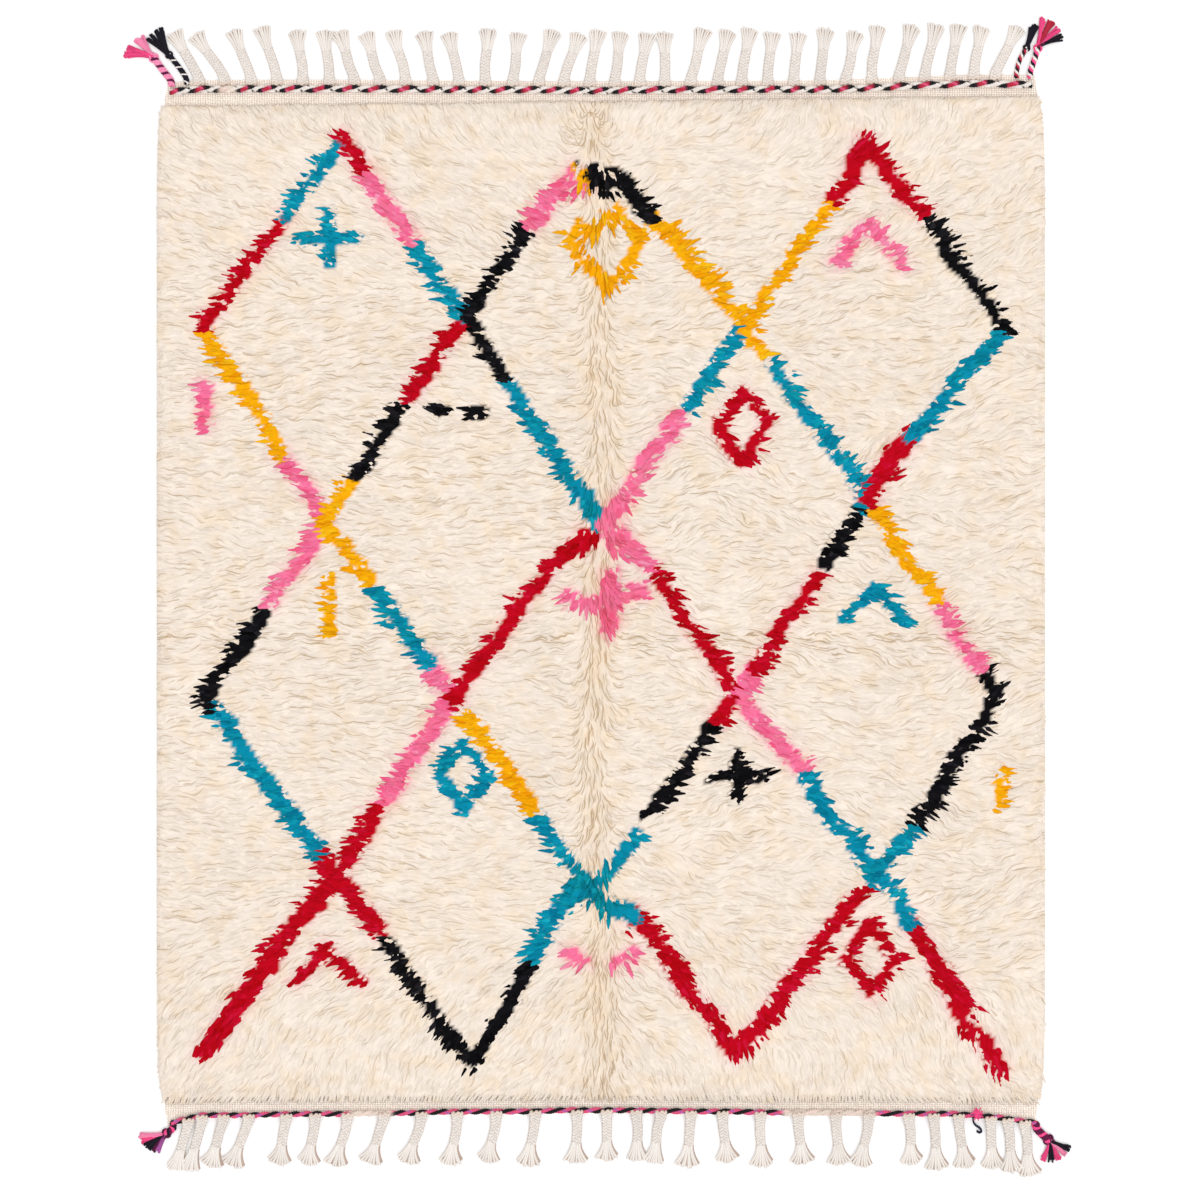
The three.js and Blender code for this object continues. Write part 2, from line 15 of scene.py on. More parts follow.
import bpy
import numpy as np
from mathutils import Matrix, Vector


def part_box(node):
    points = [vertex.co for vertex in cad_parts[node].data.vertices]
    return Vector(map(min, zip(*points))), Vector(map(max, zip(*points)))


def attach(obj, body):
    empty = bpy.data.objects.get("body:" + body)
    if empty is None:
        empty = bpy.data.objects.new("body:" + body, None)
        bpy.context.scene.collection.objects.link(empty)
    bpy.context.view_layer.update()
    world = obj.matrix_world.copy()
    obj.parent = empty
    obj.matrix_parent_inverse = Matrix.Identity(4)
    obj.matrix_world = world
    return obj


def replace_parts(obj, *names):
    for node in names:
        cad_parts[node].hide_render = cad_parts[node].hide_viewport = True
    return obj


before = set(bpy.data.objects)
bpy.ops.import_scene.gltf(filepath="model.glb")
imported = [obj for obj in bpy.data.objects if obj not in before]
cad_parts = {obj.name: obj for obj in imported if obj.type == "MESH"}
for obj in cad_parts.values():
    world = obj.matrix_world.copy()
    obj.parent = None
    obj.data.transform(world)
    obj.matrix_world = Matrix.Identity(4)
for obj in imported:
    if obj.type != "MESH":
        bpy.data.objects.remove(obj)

LOG = logging.getLogger("rug")
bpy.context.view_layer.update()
MM = 0.001
BODY = "root"

Colour = tuple[float, float, float, float]
Point = tuple[float, float]
Line = tuple[Point, ...]
Socket = bpy.types.NodeSocket
Piece = bpy.types.Object

UP = np.array([0.0, 0.0, 1.0])
FAR = 1e9
TINY = 1e-9

# The pile field
HALF_WIDTH = 748.0
ROUGH_HALF_WIDTH = 735.0
HALF_LENGTH = 850.0
TOP_SLOPE = 0.0118
BOTTOM_BOW = 4.0
CORNER_DRAW_IN = 9.0
CORNER_REACH = 45.0

# Outer line of each end band, from the left side to the right
TOP_BAND_EDGE: Line = (
    (-740, 880), (-690, 886), (-520, 887), (0, 884), (390, 886), (640, 896), (740, 894),
)
BOTTOM_BAND_EDGE: Line = (
    (-738, -898), (-680, -883), (-530, -881), (0, -874), (390, -879), (600, -881), (680, -887),
    (748, -896),
)


def linear(red: int, green: int, blue: int) -> Colour:
    """The shader's colour for a colour read off a screen.

    Args:
        red: Red, 0 to 255.
        green: Green, 0 to 255.
        blue: Blue, 0 to 255.

    Returns:
        Linear red, green and blue, and full opacity.
    """
    shares = (c / 255 for c in (red, green, blue))
    r, g, b = (s / 12.92 if s <= 0.04045 else ((s + 0.055) / 1.055) ** 2.4 for s in shares)
    return (r, g, b, 1.0)


def uneven(n: int, row: int) -> float:
    """A repeatable value between -1 and 1 for the nth thing of a row, as in the part's source."""
    wave = math.sin(n * 12.9898 + row * 78.233) * 43758.5453
    return 2 * (wave - math.floor(wave)) - 1


def mix(a: float, b: float, share: float) -> float:
    """The value a share of the way from a to b."""
    return a + (b - a) * share


def ease(share: np.ndarray) -> np.ndarray:
    """A share held between 0 and 1, with a soft start and end."""
    held = np.clip(share, 0, 1)
    return held * held * (3 - 2 * held)


def past(values: np.ndarray, margin: Point) -> np.ndarray:
    """How far values are past a margin's start, as a soft share of the margin's width."""
    return ease((values - margin[0]) / margin[1])


def line_at(line: Line, x: np.ndarray | float) -> np.ndarray:
    """The height of a broken line at places along it."""
    xs, ys = zip(*line)
    slope_in = (ys[1] - ys[0]) / (xs[1] - xs[0])
    slope_out = (ys[-1] - ys[-2]) / (xs[-1] - xs[-2])
    inside = np.interp(x, xs, ys)
    return inside + slope_in * np.minimum(x - xs[0], 0) + slope_out * np.maximum(x - xs[-1], 0)


def top_end(x: np.ndarray | float) -> np.ndarray:
    """Where the pile field ends at the top."""
    return HALF_LENGTH + TOP_SLOPE * np.asarray(x, float)


def bottom_end(x: np.ndarray | float) -> np.ndarray:
    """Where the pile field ends at the bottom."""
    return -HALF_LENGTH + BOTTOM_BOW * (1 - (np.asarray(x, float) / HALF_WIDTH) ** 2)


def half_width(y: np.ndarray | float) -> np.ndarray:
    """Half the width of the field, which draws in a little towards its corners."""
    from_end = HALF_LENGTH - np.minimum(np.abs(y), HALF_LENGTH)
    return HALF_WIDTH - CORNER_DRAW_IN * np.exp(-from_end / CORNER_REACH)


def unit(vectors: np.ndarray) -> np.ndarray:
    """The same directions, each one long."""
    return vectors / np.maximum(np.linalg.norm(vectors, axis=-1, keepdims=True), TINY)


def turned(ways: np.ndarray) -> np.ndarray:
    """Level directions turned a quarter to the left."""
    return np.stack([-ways[..., 1], ways[..., 0]], axis=-1)


def tinted(colours: np.ndarray, tint: Colour, share: np.ndarray | float) -> np.ndarray:
    """Colours taken a share of the way to another."""
    return colours + (np.array(tint) - colours) * share


def opaque(colours: np.ndarray) -> np.ndarray:
    """The same colours with 1 in alpha."""
    colours[..., 3] = 1
    return colours


@dataclass(frozen=True)
class Placement:
    """Where the design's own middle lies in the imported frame, in millimetres."""

    x: float
    y: float

    @classmethod
    def from_frame(cls) -> "Placement":
        """Reads the shift off two CAD solids whose design places are known.

        Returns:
            The placement that every mesh is built with.
        """
        cord_left, star_outer = -734.0, -881.0
        return cls(
            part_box("edge_cord_top")[0].x / MM - cord_left,
            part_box("splice_tuft")[0].y / MM - star_outer,
        )

    def metres(self, points: np.ndarray) -> np.ndarray:
        """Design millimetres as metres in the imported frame."""
        return (points + np.array([self.x, self.y, 0.0])) * MM


PLACE = Placement.from_frame()


class Drift:
    """A smooth, repeatable unevenness over the floor plan, from -1 to 1."""

    SIDE = 97
    MIDDLE = 500.0

    def __init__(self, seed: int, across: float, along: float | None = None) -> None:
        """Sets the size of its patches.

        Args:
            seed: Which unevenness it is.
            across: Width of a patch along X, in millimetres.
            along: Its length along Y, the same as its width if left out.
        """
        self.values = np.random.default_rng(seed).uniform(-1, 1, (self.SIDE, self.SIDE))
        self.across = across
        self.along = along or across

    def at(self, x: np.ndarray, y: np.ndarray) -> np.ndarray:
        """The value at each place."""
        u = np.asarray(x) / self.across + self.MIDDLE
        v = np.asarray(y) / self.along + self.MIDDLE
        i, j = np.floor(u).astype(int), np.floor(v).astype(int)
        a, b = ease(u - i), ease(v - j)
        i0, i1, j0, j1 = i % self.SIDE, (i + 1) % self.SIDE, j % self.SIDE, (j + 1) % self.SIDE
        low = self.values[i0, j0] * (1 - a) + self.values[i1, j0] * a
        high = self.values[i0, j1] * (1 - a) + self.values[i1, j1] * a
        return low * (1 - b) + high * b


@dataclass(frozen=True)
class Section:
    """The outline of a strand's ring, in half widths and half heights, and the painted shade of
    each corner: 1 on top, lower on the sides and underside.
    """

    outline: tuple[Point, ...]
    # Painted shade: how lit each corner is painted, 1 where unshaded.
    out: tuple[float, ...]

    @classmethod
    def round(cls, sides: int, deepest: float) -> "Section":
        """A round yarn with a few sides and one corner on top.

        Args:
            sides: How many sides.
            deepest: The painted shade value of its underside, where its top has 1.

        Returns:
            The section.
        """
        turns = [math.pi / 2 + 2 * math.pi * n / sides for n in range(sides)]
        out = tuple(mix(deepest, 1.0, (1 + math.sin(t)) / 2) for t in turns)
        return cls(tuple((math.cos(t), math.sin(t)) for t in turns), out)


# Painted shade: each section's corners are painted darker on the sides and underside.
LOCK_SECTION = Section(((1.0, -0.4), (0.0, 0.85), (-1.0, -0.4)), (0.55, 1.0, 0.55))
YARN_SECTION = Section.round(4, -0.4)
PLY_SECTION = Section.round(5, 0.2)


class Skein:
    """Gathers tapered strands, many at a time, and turns them into one mesh."""

    STARTS = 977
    START_STEP = 61.7

    def __init__(self, name: str) -> None:
        """Starts an empty skein for a piece of that name."""
        self.name = name
        self.points: list[np.ndarray] = []
        self.faces: list[np.ndarray] = []
        self.uvs: list[np.ndarray] = []
        self.dyes: list[np.ndarray] = []
        self.count = 0

    def lay(
        self,
        paths: np.ndarray,
        wide: np.ndarray | float,
        tall: np.ndarray | float,
        section: Section,
        dye: np.ndarray | Colour,
        lie: np.ndarray | None = None,
        edge: np.ndarray | float = 1.0,
    ) -> None:
        """Adds strands that all have the same number of rings.

        Args:
            paths: Their middles, strands by rings by three, in design millimetres.
            wide: Half their width at each ring.
            tall: Half their height at each ring.
            section: The outline of a ring.
            dye: The vertex colour of each ring, or of the whole strand; its alpha holds the painted
                shade share, 1 where unshaded.
            lie: The level direction each strand keeps its flat side square to.
            edge: How strongly painted shade darkens each strand's sides.
        """
        shape = paths.shape[:2]
        outline = np.array(section.outline)
        corners = len(outline)
        wide, tall = np.broadcast_to(wide, shape), np.broadcast_to(tall, shape)
        side, up = self._ways(paths, lie)
        points = (
            paths[:, :, None]
            + side[:, :, None] * (wide[:, :, None] * outline[:, 0])[..., None]
            + up[:, :, None] * (tall[:, :, None] * outline[:, 1])[..., None]
        )
        self.points.append(points.reshape(-1, 3))
        self._dye(dye, shape, section, edge)
        self._skin(*shape, corners)
        self._unroll(paths, 4 * (wide.mean() + tall.mean()) * np.arange(corners + 1) / corners)

    @staticmethod
    def _ways(paths: np.ndarray, lie: np.ndarray | None) -> tuple[np.ndarray, np.ndarray]:
        """The directions to the side and upwards of each ring.

        Args:
            paths: The strands' middles.
            lie: The level direction each strand keeps its flat side square to, if it has one.

        Returns:
            Both, strands by rings by three.
        """
        step = unit(np.gradient(paths, axis=1))
        if lie is None:
            side = np.cross(UP, step)
        else:
            side = np.column_stack([turned(lie), np.zeros(len(lie))])[:, None]
            side = side - step * (side * step).sum(axis=2, keepdims=True)
        side = unit(side)
        return side, np.cross(step, side)

    def _dye(self, dye: np.ndarray | Colour, shape: tuple[int, int], section: Section,
             edge: np.ndarray | float) -> None:
        """Keeps each corner's colour, with its painted shade share in alpha, lower on the strand's
        sides.

        Args:
            dye: The colour of each ring, or of the whole strand.
            shape: How many strands, and how many rings on each.
            section: The outline of a ring.
            edge: How strongly painted shade darkens each strand's sides.
        """
        colour = np.asarray(dye, float)
        if colour.ndim == 2:
            colour = colour[:, None]
        colour = np.broadcast_to(colour, (*shape, 4))[:, :, None]
        colour = np.repeat(colour, len(section.out), axis=2)
        # Painted shade: corners lower in the section get a lower alpha, which the finish tints
        # darker.
        side_shade = (1 - np.array(section.out)) * np.broadcast_to(edge, shape[0])[:, None]
        colour[..., 3] *= np.clip(1 - side_shade, 0, 1)[:, None]
        self.dyes.append(colour.reshape(-1, 4))

    def _skin(self, strands: int, rings: int, corners: int) -> None:
        """Adds the strands' walls and their two closed ends."""
        index = np.arange(strands * rings * corners).reshape(strands, rings, corners)
        index += self.count
        after = np.roll(index, -1, axis=2)
        walls = np.stack([index[:, :-1], after[:, :-1], after[:, 1:], index[:, 1:]], axis=3)
        self.faces += [walls.reshape(-1, 4), index[:, 0, ::-1], index[:, -1]]
        self.count += index.size

    def _unroll(self, paths: np.ndarray, around: np.ndarray) -> None:
        """Lays the same faces out flat, each strand from a start of its own.

        Args:
            paths: The strands' middles.
            around: How far round a strand each of its corners lies.
        """
        strands, rings, _ = paths.shape
        length = np.linalg.norm(np.diff(paths, axis=1), axis=2).cumsum(axis=1)
        length = np.concatenate([np.zeros((strands, 1)), length], axis=1)
        starts = np.arange(self.count, self.count + strands) % self.STARTS
        length = length + starts[:, None] * self.START_STEP
        walls = np.empty((strands, rings - 1, len(around) - 1, 4, 2))
        walls[..., 0, 0] = walls[..., 3, 0] = around[:-1]
        walls[..., 1, 0] = walls[..., 2, 0] = around[1:]
        walls[..., 0, 1] = walls[..., 1, 1] = length[:, :-1, None]
        walls[..., 2, 1] = walls[..., 3, 1] = length[:, 1:, None]
        caps = np.empty((2, strands, len(around) - 1, 2))
        caps[..., 0] = around[:-1]
        caps[0, ..., 1] = length[:, :1]
        caps[1, ..., 1] = length[:, -1:]
        self.uvs += [walls.reshape(-1, 2), caps[0].reshape(-1, 2), caps[1].reshape(-1, 2)]

    def bind(self, finish: "Finish") -> Piece:
        """Makes the piece.

        Args:
            finish: What it is dressed in.

        Returns:
            The piece, riding on the rug.
        """
        points = np.concatenate(self.points)
        loops = np.concatenate([f.ravel() for f in self.faces]).astype(np.int32)
        sizes = np.concatenate([np.full(len(f), f.shape[1]) for f in self.faces])
        mesh = bpy.data.meshes.new(self.name)
        mesh.vertices.add(len(points))
        move_points(mesh, points)
        mesh.loops.add(len(loops))
        mesh.loops.foreach_set("vertex_index", loops)
        mesh.polygons.add(len(sizes))
        starts = np.concatenate([[0], np.cumsum(sizes)[:-1]]).astype(np.int32)
        mesh.polygons.foreach_set("loop_start", starts)
        mesh.update(calc_edges=True)
        mesh.shade_flat()
        flat = mesh.uv_layers.new(name="lay")
        uvs = (np.concatenate(self.uvs) * MM).astype(np.float32)
        flat.data.foreach_set("uv", uvs.ravel())
        note(mesh, "dye", Note.COLOUR, np.concatenate(self.dyes))
        piece = bpy.data.objects.new(self.name, mesh)
        bpy.context.scene.collection.objects.link(piece)
        return dress(piece, finish)


class Note(Enum):
    """What can be noted on a mesh, by the kind of attribute and the key of its values."""

    NUMBER = ("FLOAT", "value")
    WAY = ("FLOAT_VECTOR", "vector")
    COLOUR = ("FLOAT_COLOR", "color")


def note(mesh: bpy.types.Mesh, name: str, kind: Note, values: np.ndarray,
         domain: str = "POINT") -> None:
    """Notes values on a mesh for its material to read.

    Args:
        mesh: The mesh.
        name: What the material calls them.
        kind: What they are.
        values: One for each point or corner.
        domain: Where on the mesh they lie.
    """
    attribute, key = kind.value
    noted = mesh.attributes.new(name, attribute, domain)
    noted.data.foreach_set(key, values.astype(np.float32).ravel())


def grid(name: str, columns: int, rows: int, size: float = 2.0) -> Piece:
    """Adds a flat square grid and leaves it alone selected.

    Args:
        name: The piece's name.
        columns: How many faces it has across.
        rows: How many along.
        size: Its side, in metres.

    Returns:
        The new piece.
    """
    bpy.ops.object.select_all(action="DESELECT")
    bpy.ops.mesh.primitive_grid_add(x_subdivisions=columns, y_subdivisions=rows, size=size)
    piece = bpy.context.object
    piece.name = piece.data.name = name
    return piece


def points_of(mesh: bpy.types.Mesh) -> np.ndarray:
    """A mesh's points, points by three."""
    points = np.empty(len(mesh.vertices) * 3, np.float32)
    mesh.vertices.foreach_get("co", points)
    return points.reshape(-1, 3).astype(float)


def move_points(mesh: bpy.types.Mesh, points: np.ndarray) -> None:
    """Moves a mesh's points to places given in design millimetres."""
    mesh.vertices.foreach_set("co", PLACE.metres(points).astype(np.float32).ravel())


def dress(piece: Piece, finish: "Finish") -> Piece:
    """Gives a piece its only finish and lets it ride on the rug.

    Args:
        piece: A finished mesh.
        finish: What it is made of.

    Returns:
        The same piece.
    """
    piece.data.materials.clear()
    piece.data.materials.append(finish.material())
    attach(piece, BODY)
    faces = sum(len(p.vertices) - 2 for p in piece.data.polygons)
    LOG.info("%s: %d triangles", piece.name, faces)
    return piece


class Bench:
    """A new material's node tree, with short ways to add nodes and join them."""

    def __init__(self, name: str) -> None:
        """Starts a material with a shader of its own."""
        self.material = bpy.data.materials.new(name)
        self.material.use_nodes = True
        self.tree = self.material.node_tree
        self.shader = self.tree.nodes["Principled BSDF"]

    def add(self, kind: str, inputs: dict[str | int, object] | None = None,
            **settings: object) -> bpy.types.Node:
        """Adds a node.

        Args:
            kind: The node's type, without its first words.
            inputs: Values or sockets for its inputs, by name or number.
            **settings: Its other settings.

        Returns:
            The node.
        """
        node = self.tree.nodes.new("ShaderNode" + kind)
        for name, value in settings.items():
            setattr(node, name, value)
        for name, value in (inputs or {}).items():
            if isinstance(value, Socket):
                self.tree.links.new(value, node.inputs[name])
            else:
                node.inputs[name].default_value = value
        return node

    def sum(self, operation: str, a: object, b: object = 0.0, c: object = 0.0) -> Socket:
        """The outcome of one arithmetic step."""
        return self.add("Math", {0: a, 1: b, 2: c}, operation=operation).outputs[0]

    def turn(self, operation: str, a: object, b: object = None, c: object = None) -> Socket:
        """The outcome of one step with directions or places."""
        given = {n: value for n, value in enumerate((a, b, c)) if value is not None}
        return self.add("VectorMath", given, operation=operation).outputs[0]

    def spread(self, value: object, width: float) -> Socket:
        """An uneven value around a half as one around nought, of another width."""
        return self.sum("MULTIPLY_ADD", value, width, -width / 2)

    def vary(self, light: object, value: object, width: float) -> Socket:
        """A light made paler and darker by an uneven value around a half."""
        return self.sum("ADD", light, self.spread(value, width))

    def shine(self, dye: object, light: Socket) -> Socket:
        """A colour made paler or darker by a light around one."""
        return self.add("HueSaturation", {"Color": dye, "Value": light}).outputs[0]

    def blend(self, share: object, a: object, b: object, kind: str = "MIX") -> Socket:
        """Two colours mixed by a share."""
        node = self.add("Mix", {0: share, 6: a, 7: b}, data_type="RGBA", blend_type=kind)
        return node.outputs[2]

    def noise(self, vector: object, scale: float, detail: float = 2.0) -> Socket:
        """An uneven value around a half."""
        inputs = {"Vector": vector, "Scale": scale, "Detail": detail}
        return self.add("TexNoise", inputs).outputs["Fac"]

    def step(self, value: object, first: object, last: object) -> Socket:
        """A soft step from 0 at the first value to 1 at the last."""
        inputs = {"Value": value, "From Min": first, "From Max": last}
        return self.add("MapRange", inputs, interpolation_type="SMOOTHSTEP").outputs[0]

    def settle(self, colour: object, height: object, depth: float, fluff: float = 0.0,
               **fixed: float) -> bpy.types.Material:
        """Joins colour and relief to the shader and sets its other values.

        Args:
            colour: The base colour's socket.
            height: The relief's socket.
            depth: How deep the relief is, in metres.
            fluff: How much softer than its shape the surface is lit, as loose wool is.
            **fixed: The shader's own values, by name, with _ for a space.

        Returns:
            The finished material.
        """
        facing = self.add("NewGeometry").outputs["Normal"]
        soft = self.turn("MULTIPLY_ADD", facing, (1 - fluff,) * 3, (0.0, 0.0, fluff))
        soft = self.turn("NORMALIZE", soft)
        inputs = {"Height": height, "Distance": depth, "Strength": 1.0, "Normal": soft}
        bump = self.add("Bump", inputs)
        self.tree.links.new(bump.outputs[0], self.shader.inputs["Normal"])
        self.tree.links.new(colour, self.shader.inputs["Base Color"])
        for name, value in fixed.items():
            self.shader.inputs[name.replace("_", " ")].default_value = value
        return self.material


@dataclass(frozen=True)
class Finish:
    """What a piece is made of: its name, and a slot name that this script does not read."""

    name: str
    slot: str

    def material(self) -> bpy.types.Material:
        """The finish as a material, made once."""
        return bpy.data.materials.get(self.name) or self.make()

    def make(self) -> bpy.types.Material:
        """Builds the material's nodes."""
        raise NotImplementedError


# How far apart a wave texture's bands are at a scale of one, in metres
WAVE = 0.314


@dataclass(frozen=True)
class CreaseShade:
    """The painted shade of short bowed creases beside the clumps of combed wool, in metres."""

    clumps: tuple[float, ...] = (0.040, 0.044, 0.048, 0.038, 0.025, 0.023, 0.021)
    layer_shift: Point = (0.37, 0.61)
    length_share: float = 0.64
    full_share: float = 0.25
    thickness: float = 0.0010
    thickness_share: float = 0.018
    bow: float = 20.0
    slant: float = 0.45
    shade_width: float = 0.0055
    shade: float = 0.18
    spread: float = 1.15
    shallowest: float = -0.67


class Nap(NamedTuple):
    """The place on the wool, the level way that it lies there and the way across that."""

    place: Socket
    along: Socket
    across: Socket


class Clump(NamedTuple):
    """How far along and across the nearest clump of wool each place is, and its chance values."""

    along: Socket
    across: Socket
    chance: tuple[Socket, ...]


@dataclass(frozen=True)
class PileWool(Finish):
    """Long combed wool in its strands' own colours, with painted tan shade in its creases and on
    its strands' sides and roots, and fine fibres.
    """

    # Painted shade: the tan tint of shaded wool, and how sharply a low alpha brings it in.
    crease_shade_tint: Colour = (0.57, 0.475, 0.35, 1.0)
    shade_power: float = 1.3
    warm_tint: Colour = (0.985, 0.94, 0.86, 1.0)
    warm_scale: float = 30.0
    warm_from: float = 0.42
    warm_to: float = 0.72
    patch_scale: float = 7.0
    patch_light: float = 0.08
    light: float = 0.95
    tone_range: float = 0.42
    fibre_scale: float = 300.0
    fibre_stretch: float = 0.12
    fluff: float = 0.7
    relief_depth: float = 0.0005
    sheen: float = 0.03
    curl_patch: float = 0.040
    curl: float = 0.022
    creases: CreaseShade = CreaseShade()

    def make(self) -> bpy.types.Material:
        """Builds the material's nodes.

        Returns:
            A material that reads its colour, and in alpha its painted shade share, from the
            strands.
        """
        bench = Bench(self.name)
        dye = bench.add("Attribute", attribute_name="dye")
        # Painted shade: the dye tinted tan where alpha is low, on the locks' sides and roots, and
        # along the painted creases.
        shaded_dye = bench.blend(1.0, dye.outputs["Color"], self.crease_shade_tint, "MULTIPLY")
        nap = self._nap(bench)
        fibre, crease = self.fibres(bench, nap), self._crease_shading(bench, nap)
        out = bench.sum("POWER", dye.outputs["Alpha"], self.shade_power)
        share = bench.sum("MAXIMUM", bench.sum("SUBTRACT", 1.0, out), crease)
        body = bench.blend(share, dye.outputs["Color"], shaded_dye)
        cloud = bench.noise(nap.place, self.warm_scale)
        warm = bench.step(cloud, self.warm_from, self.warm_to)
        body = bench.blend(warm, body, bench.blend(1.0, body, self.warm_tint, "MULTIPLY"))
        patch = bench.noise(nap.place, self.patch_scale)
        light = bench.sum("MULTIPLY_ADD", patch, self.patch_light, self.light)
        light = bench.vary(light, fibre, self.tone_range)
        return bench.settle(
            bench.shine(body, light), fibre, self.relief_depth, self.fluff,
            Roughness=0.95, Specular_IOR_Level=0.03, Sheen_Weight=self.sheen, Sheen_Roughness=0.6,
        )

    def _nap(self, bench: Bench) -> Nap:
        """Reads how the wool lies, and moves the place to and fro a little so that it curls."""
        place = bench.add("TexCoord").outputs["Object"]
        inputs = {"Vector": place, "Scale": 1 / self.curl_patch, "Detail": 2.0}
        cloud = bench.add("TexNoise", inputs).outputs["Color"]
        curled = bench.turn("MULTIPLY_ADD", cloud, (self.curl, self.curl, 0.0), place)
        lie = bench.add("Attribute", attribute_name="lie").outputs["Vector"]
        return Nap(curled, lie, bench.turn("CROSS_PRODUCT", lie, tuple(UP)))

    def clump(self, bench: Bench, nap: Nap, size: float, layer: int) -> Clump:
        """The nearest clump of one layer of clumps.

        Args:
            bench: The material's nodes.
            nap: The place on the wool and the way that it lies.
            size: How far apart the clumps are, in metres.
            layer: Which layer, each moved away from the others.

        Returns:
            Where each place lies beside its clump.
        """
        shift_x, shift_y = self.creases.layer_shift
        moved = bench.turn("ADD", nap.place, (shift_x * layer, shift_y * layer, 0.0))
        inputs = {"Vector": moved, "Scale": 1 / size}
        cell = bench.add("TexVoronoi", inputs, voronoi_dimensions="2D")
        away = bench.turn("SUBTRACT", moved, cell.outputs["Position"])
        along, across = (
            bench.add("VectorMath", {0: away, 1: way}, operation="DOT_PRODUCT").outputs["Value"]
            for way in (nap.along, nap.across)
        )
        chance = bench.add("SeparateColor", {0: cell.outputs["Color"]}).outputs
        return Clump(along, across, tuple(chance))

    def fibres(self, bench: Bench, nap: Nap) -> Socket:
        """Fine fibres along each lock, as a value around a half."""
        lay = bench.add("UVMap", uv_map="lay").outputs[0]
        inputs = {"Vector": lay, "Scale": (1.0, self.fibre_stretch, 1.0)}
        return bench.noise(bench.add("Mapping", inputs).outputs[0], self.fibre_scale, 3.0)

    def _crease_shading(self, bench: Bench, nap: Nap) -> Socket:
        """The painted shade of the creases, the way that the wool is combed.

        Args:
            bench: The material's nodes.
            nap: The place on the wool and the way that it lies.

        Returns:
            How much painted crease shade each place takes, from 0 to 1.
        """
        strength = bench.add("Attribute", attribute_name="crease_shade").outputs["Fac"]
        strokes = [self._stroke(bench, strength, size, self.clump(bench, nap, size, layer))
                   for layer, size in enumerate(self.creases.clumps, 1)]
        deepest = strokes[0]
        for stroke in strokes[1:]:
            deepest = bench.sum("MAXIMUM", deepest, stroke)
        return deepest

    def _stroke(self, bench: Bench, strength: Socket, size: float, clump: Clump) -> Socket:
        """One painted crease shadow beside each clump, with painted shade on one side of it.

        Args:
            bench: The material's nodes.
            strength: How strongly painted crease shade is drawn.
            size: How far apart the clumps are, in metres.
            clump: Where each place lies beside its clump.

        Returns:
            The painted crease shade, from 0 to 1.
        """
        creases = self.creases
        bow = bench.spread(clump.chance[0], creases.bow)
        slant = bench.spread(clump.chance[2], creases.slant)
        sloped = bench.sum("MULTIPLY_ADD", clump.along, bow, slant)
        off = bench.sum("MULTIPLY_ADD", clump.along, sloped, clump.across)
        thickness = creases.thickness + creases.thickness_share * size
        line = bench.step(bench.sum("ABSOLUTE", off), thickness, 0.0)
        # Painted shade on one side of each crease line.
        shade = bench.sum("MULTIPLY", bench.step(off, creases.shade_width, 0.0),
                          bench.step(off, -thickness / 2, 0.0))
        line = bench.sum("MAXIMUM", line, bench.sum("MULTIPLY", shade, creases.shade))
        depth = bench.sum("MULTIPLY_ADD", clump.chance[1], creases.spread,
                          bench.sum("ADD", strength, creases.shallowest))
        depth = bench.sum("MINIMUM", bench.sum("MAXIMUM", depth, 0.0), 1.0)
        half = creases.length_share * size
        fade = bench.step(bench.sum("ABSOLUTE", clump.along), half, creases.full_share * half)
        return bench.sum("MULTIPLY", bench.sum("MULTIPLY", line, fade), depth)


@dataclass(frozen=True)
class MattedWool(PileWool):
    """The same wool where it lies matted, with no strands of its own to follow."""

    fluff: float = 0.3
    tone_range: float = 0.46
    fibre_length: float = 0.024
    fibre_width: float = 0.0038
    fibre_clump: float = 0.021
    fibre_shift: float = 50.0

    def fibres(self, bench: Bench, nap: Nap) -> Socket:
        """Fine fibres the way that the wool is combed, as a value around a half."""
        clump = self.clump(bench, nap, self.fibre_clump, 0)
        inputs = {0: bench.sum("DIVIDE", clump.along, self.fibre_length),
                  1: bench.sum("DIVIDE", clump.across, self.fibre_width),
                  2: bench.sum("MULTIPLY", clump.chance[0], self.fibre_shift)}
        return bench.noise(bench.add("CombineXYZ", inputs).outputs[0], 1.0)


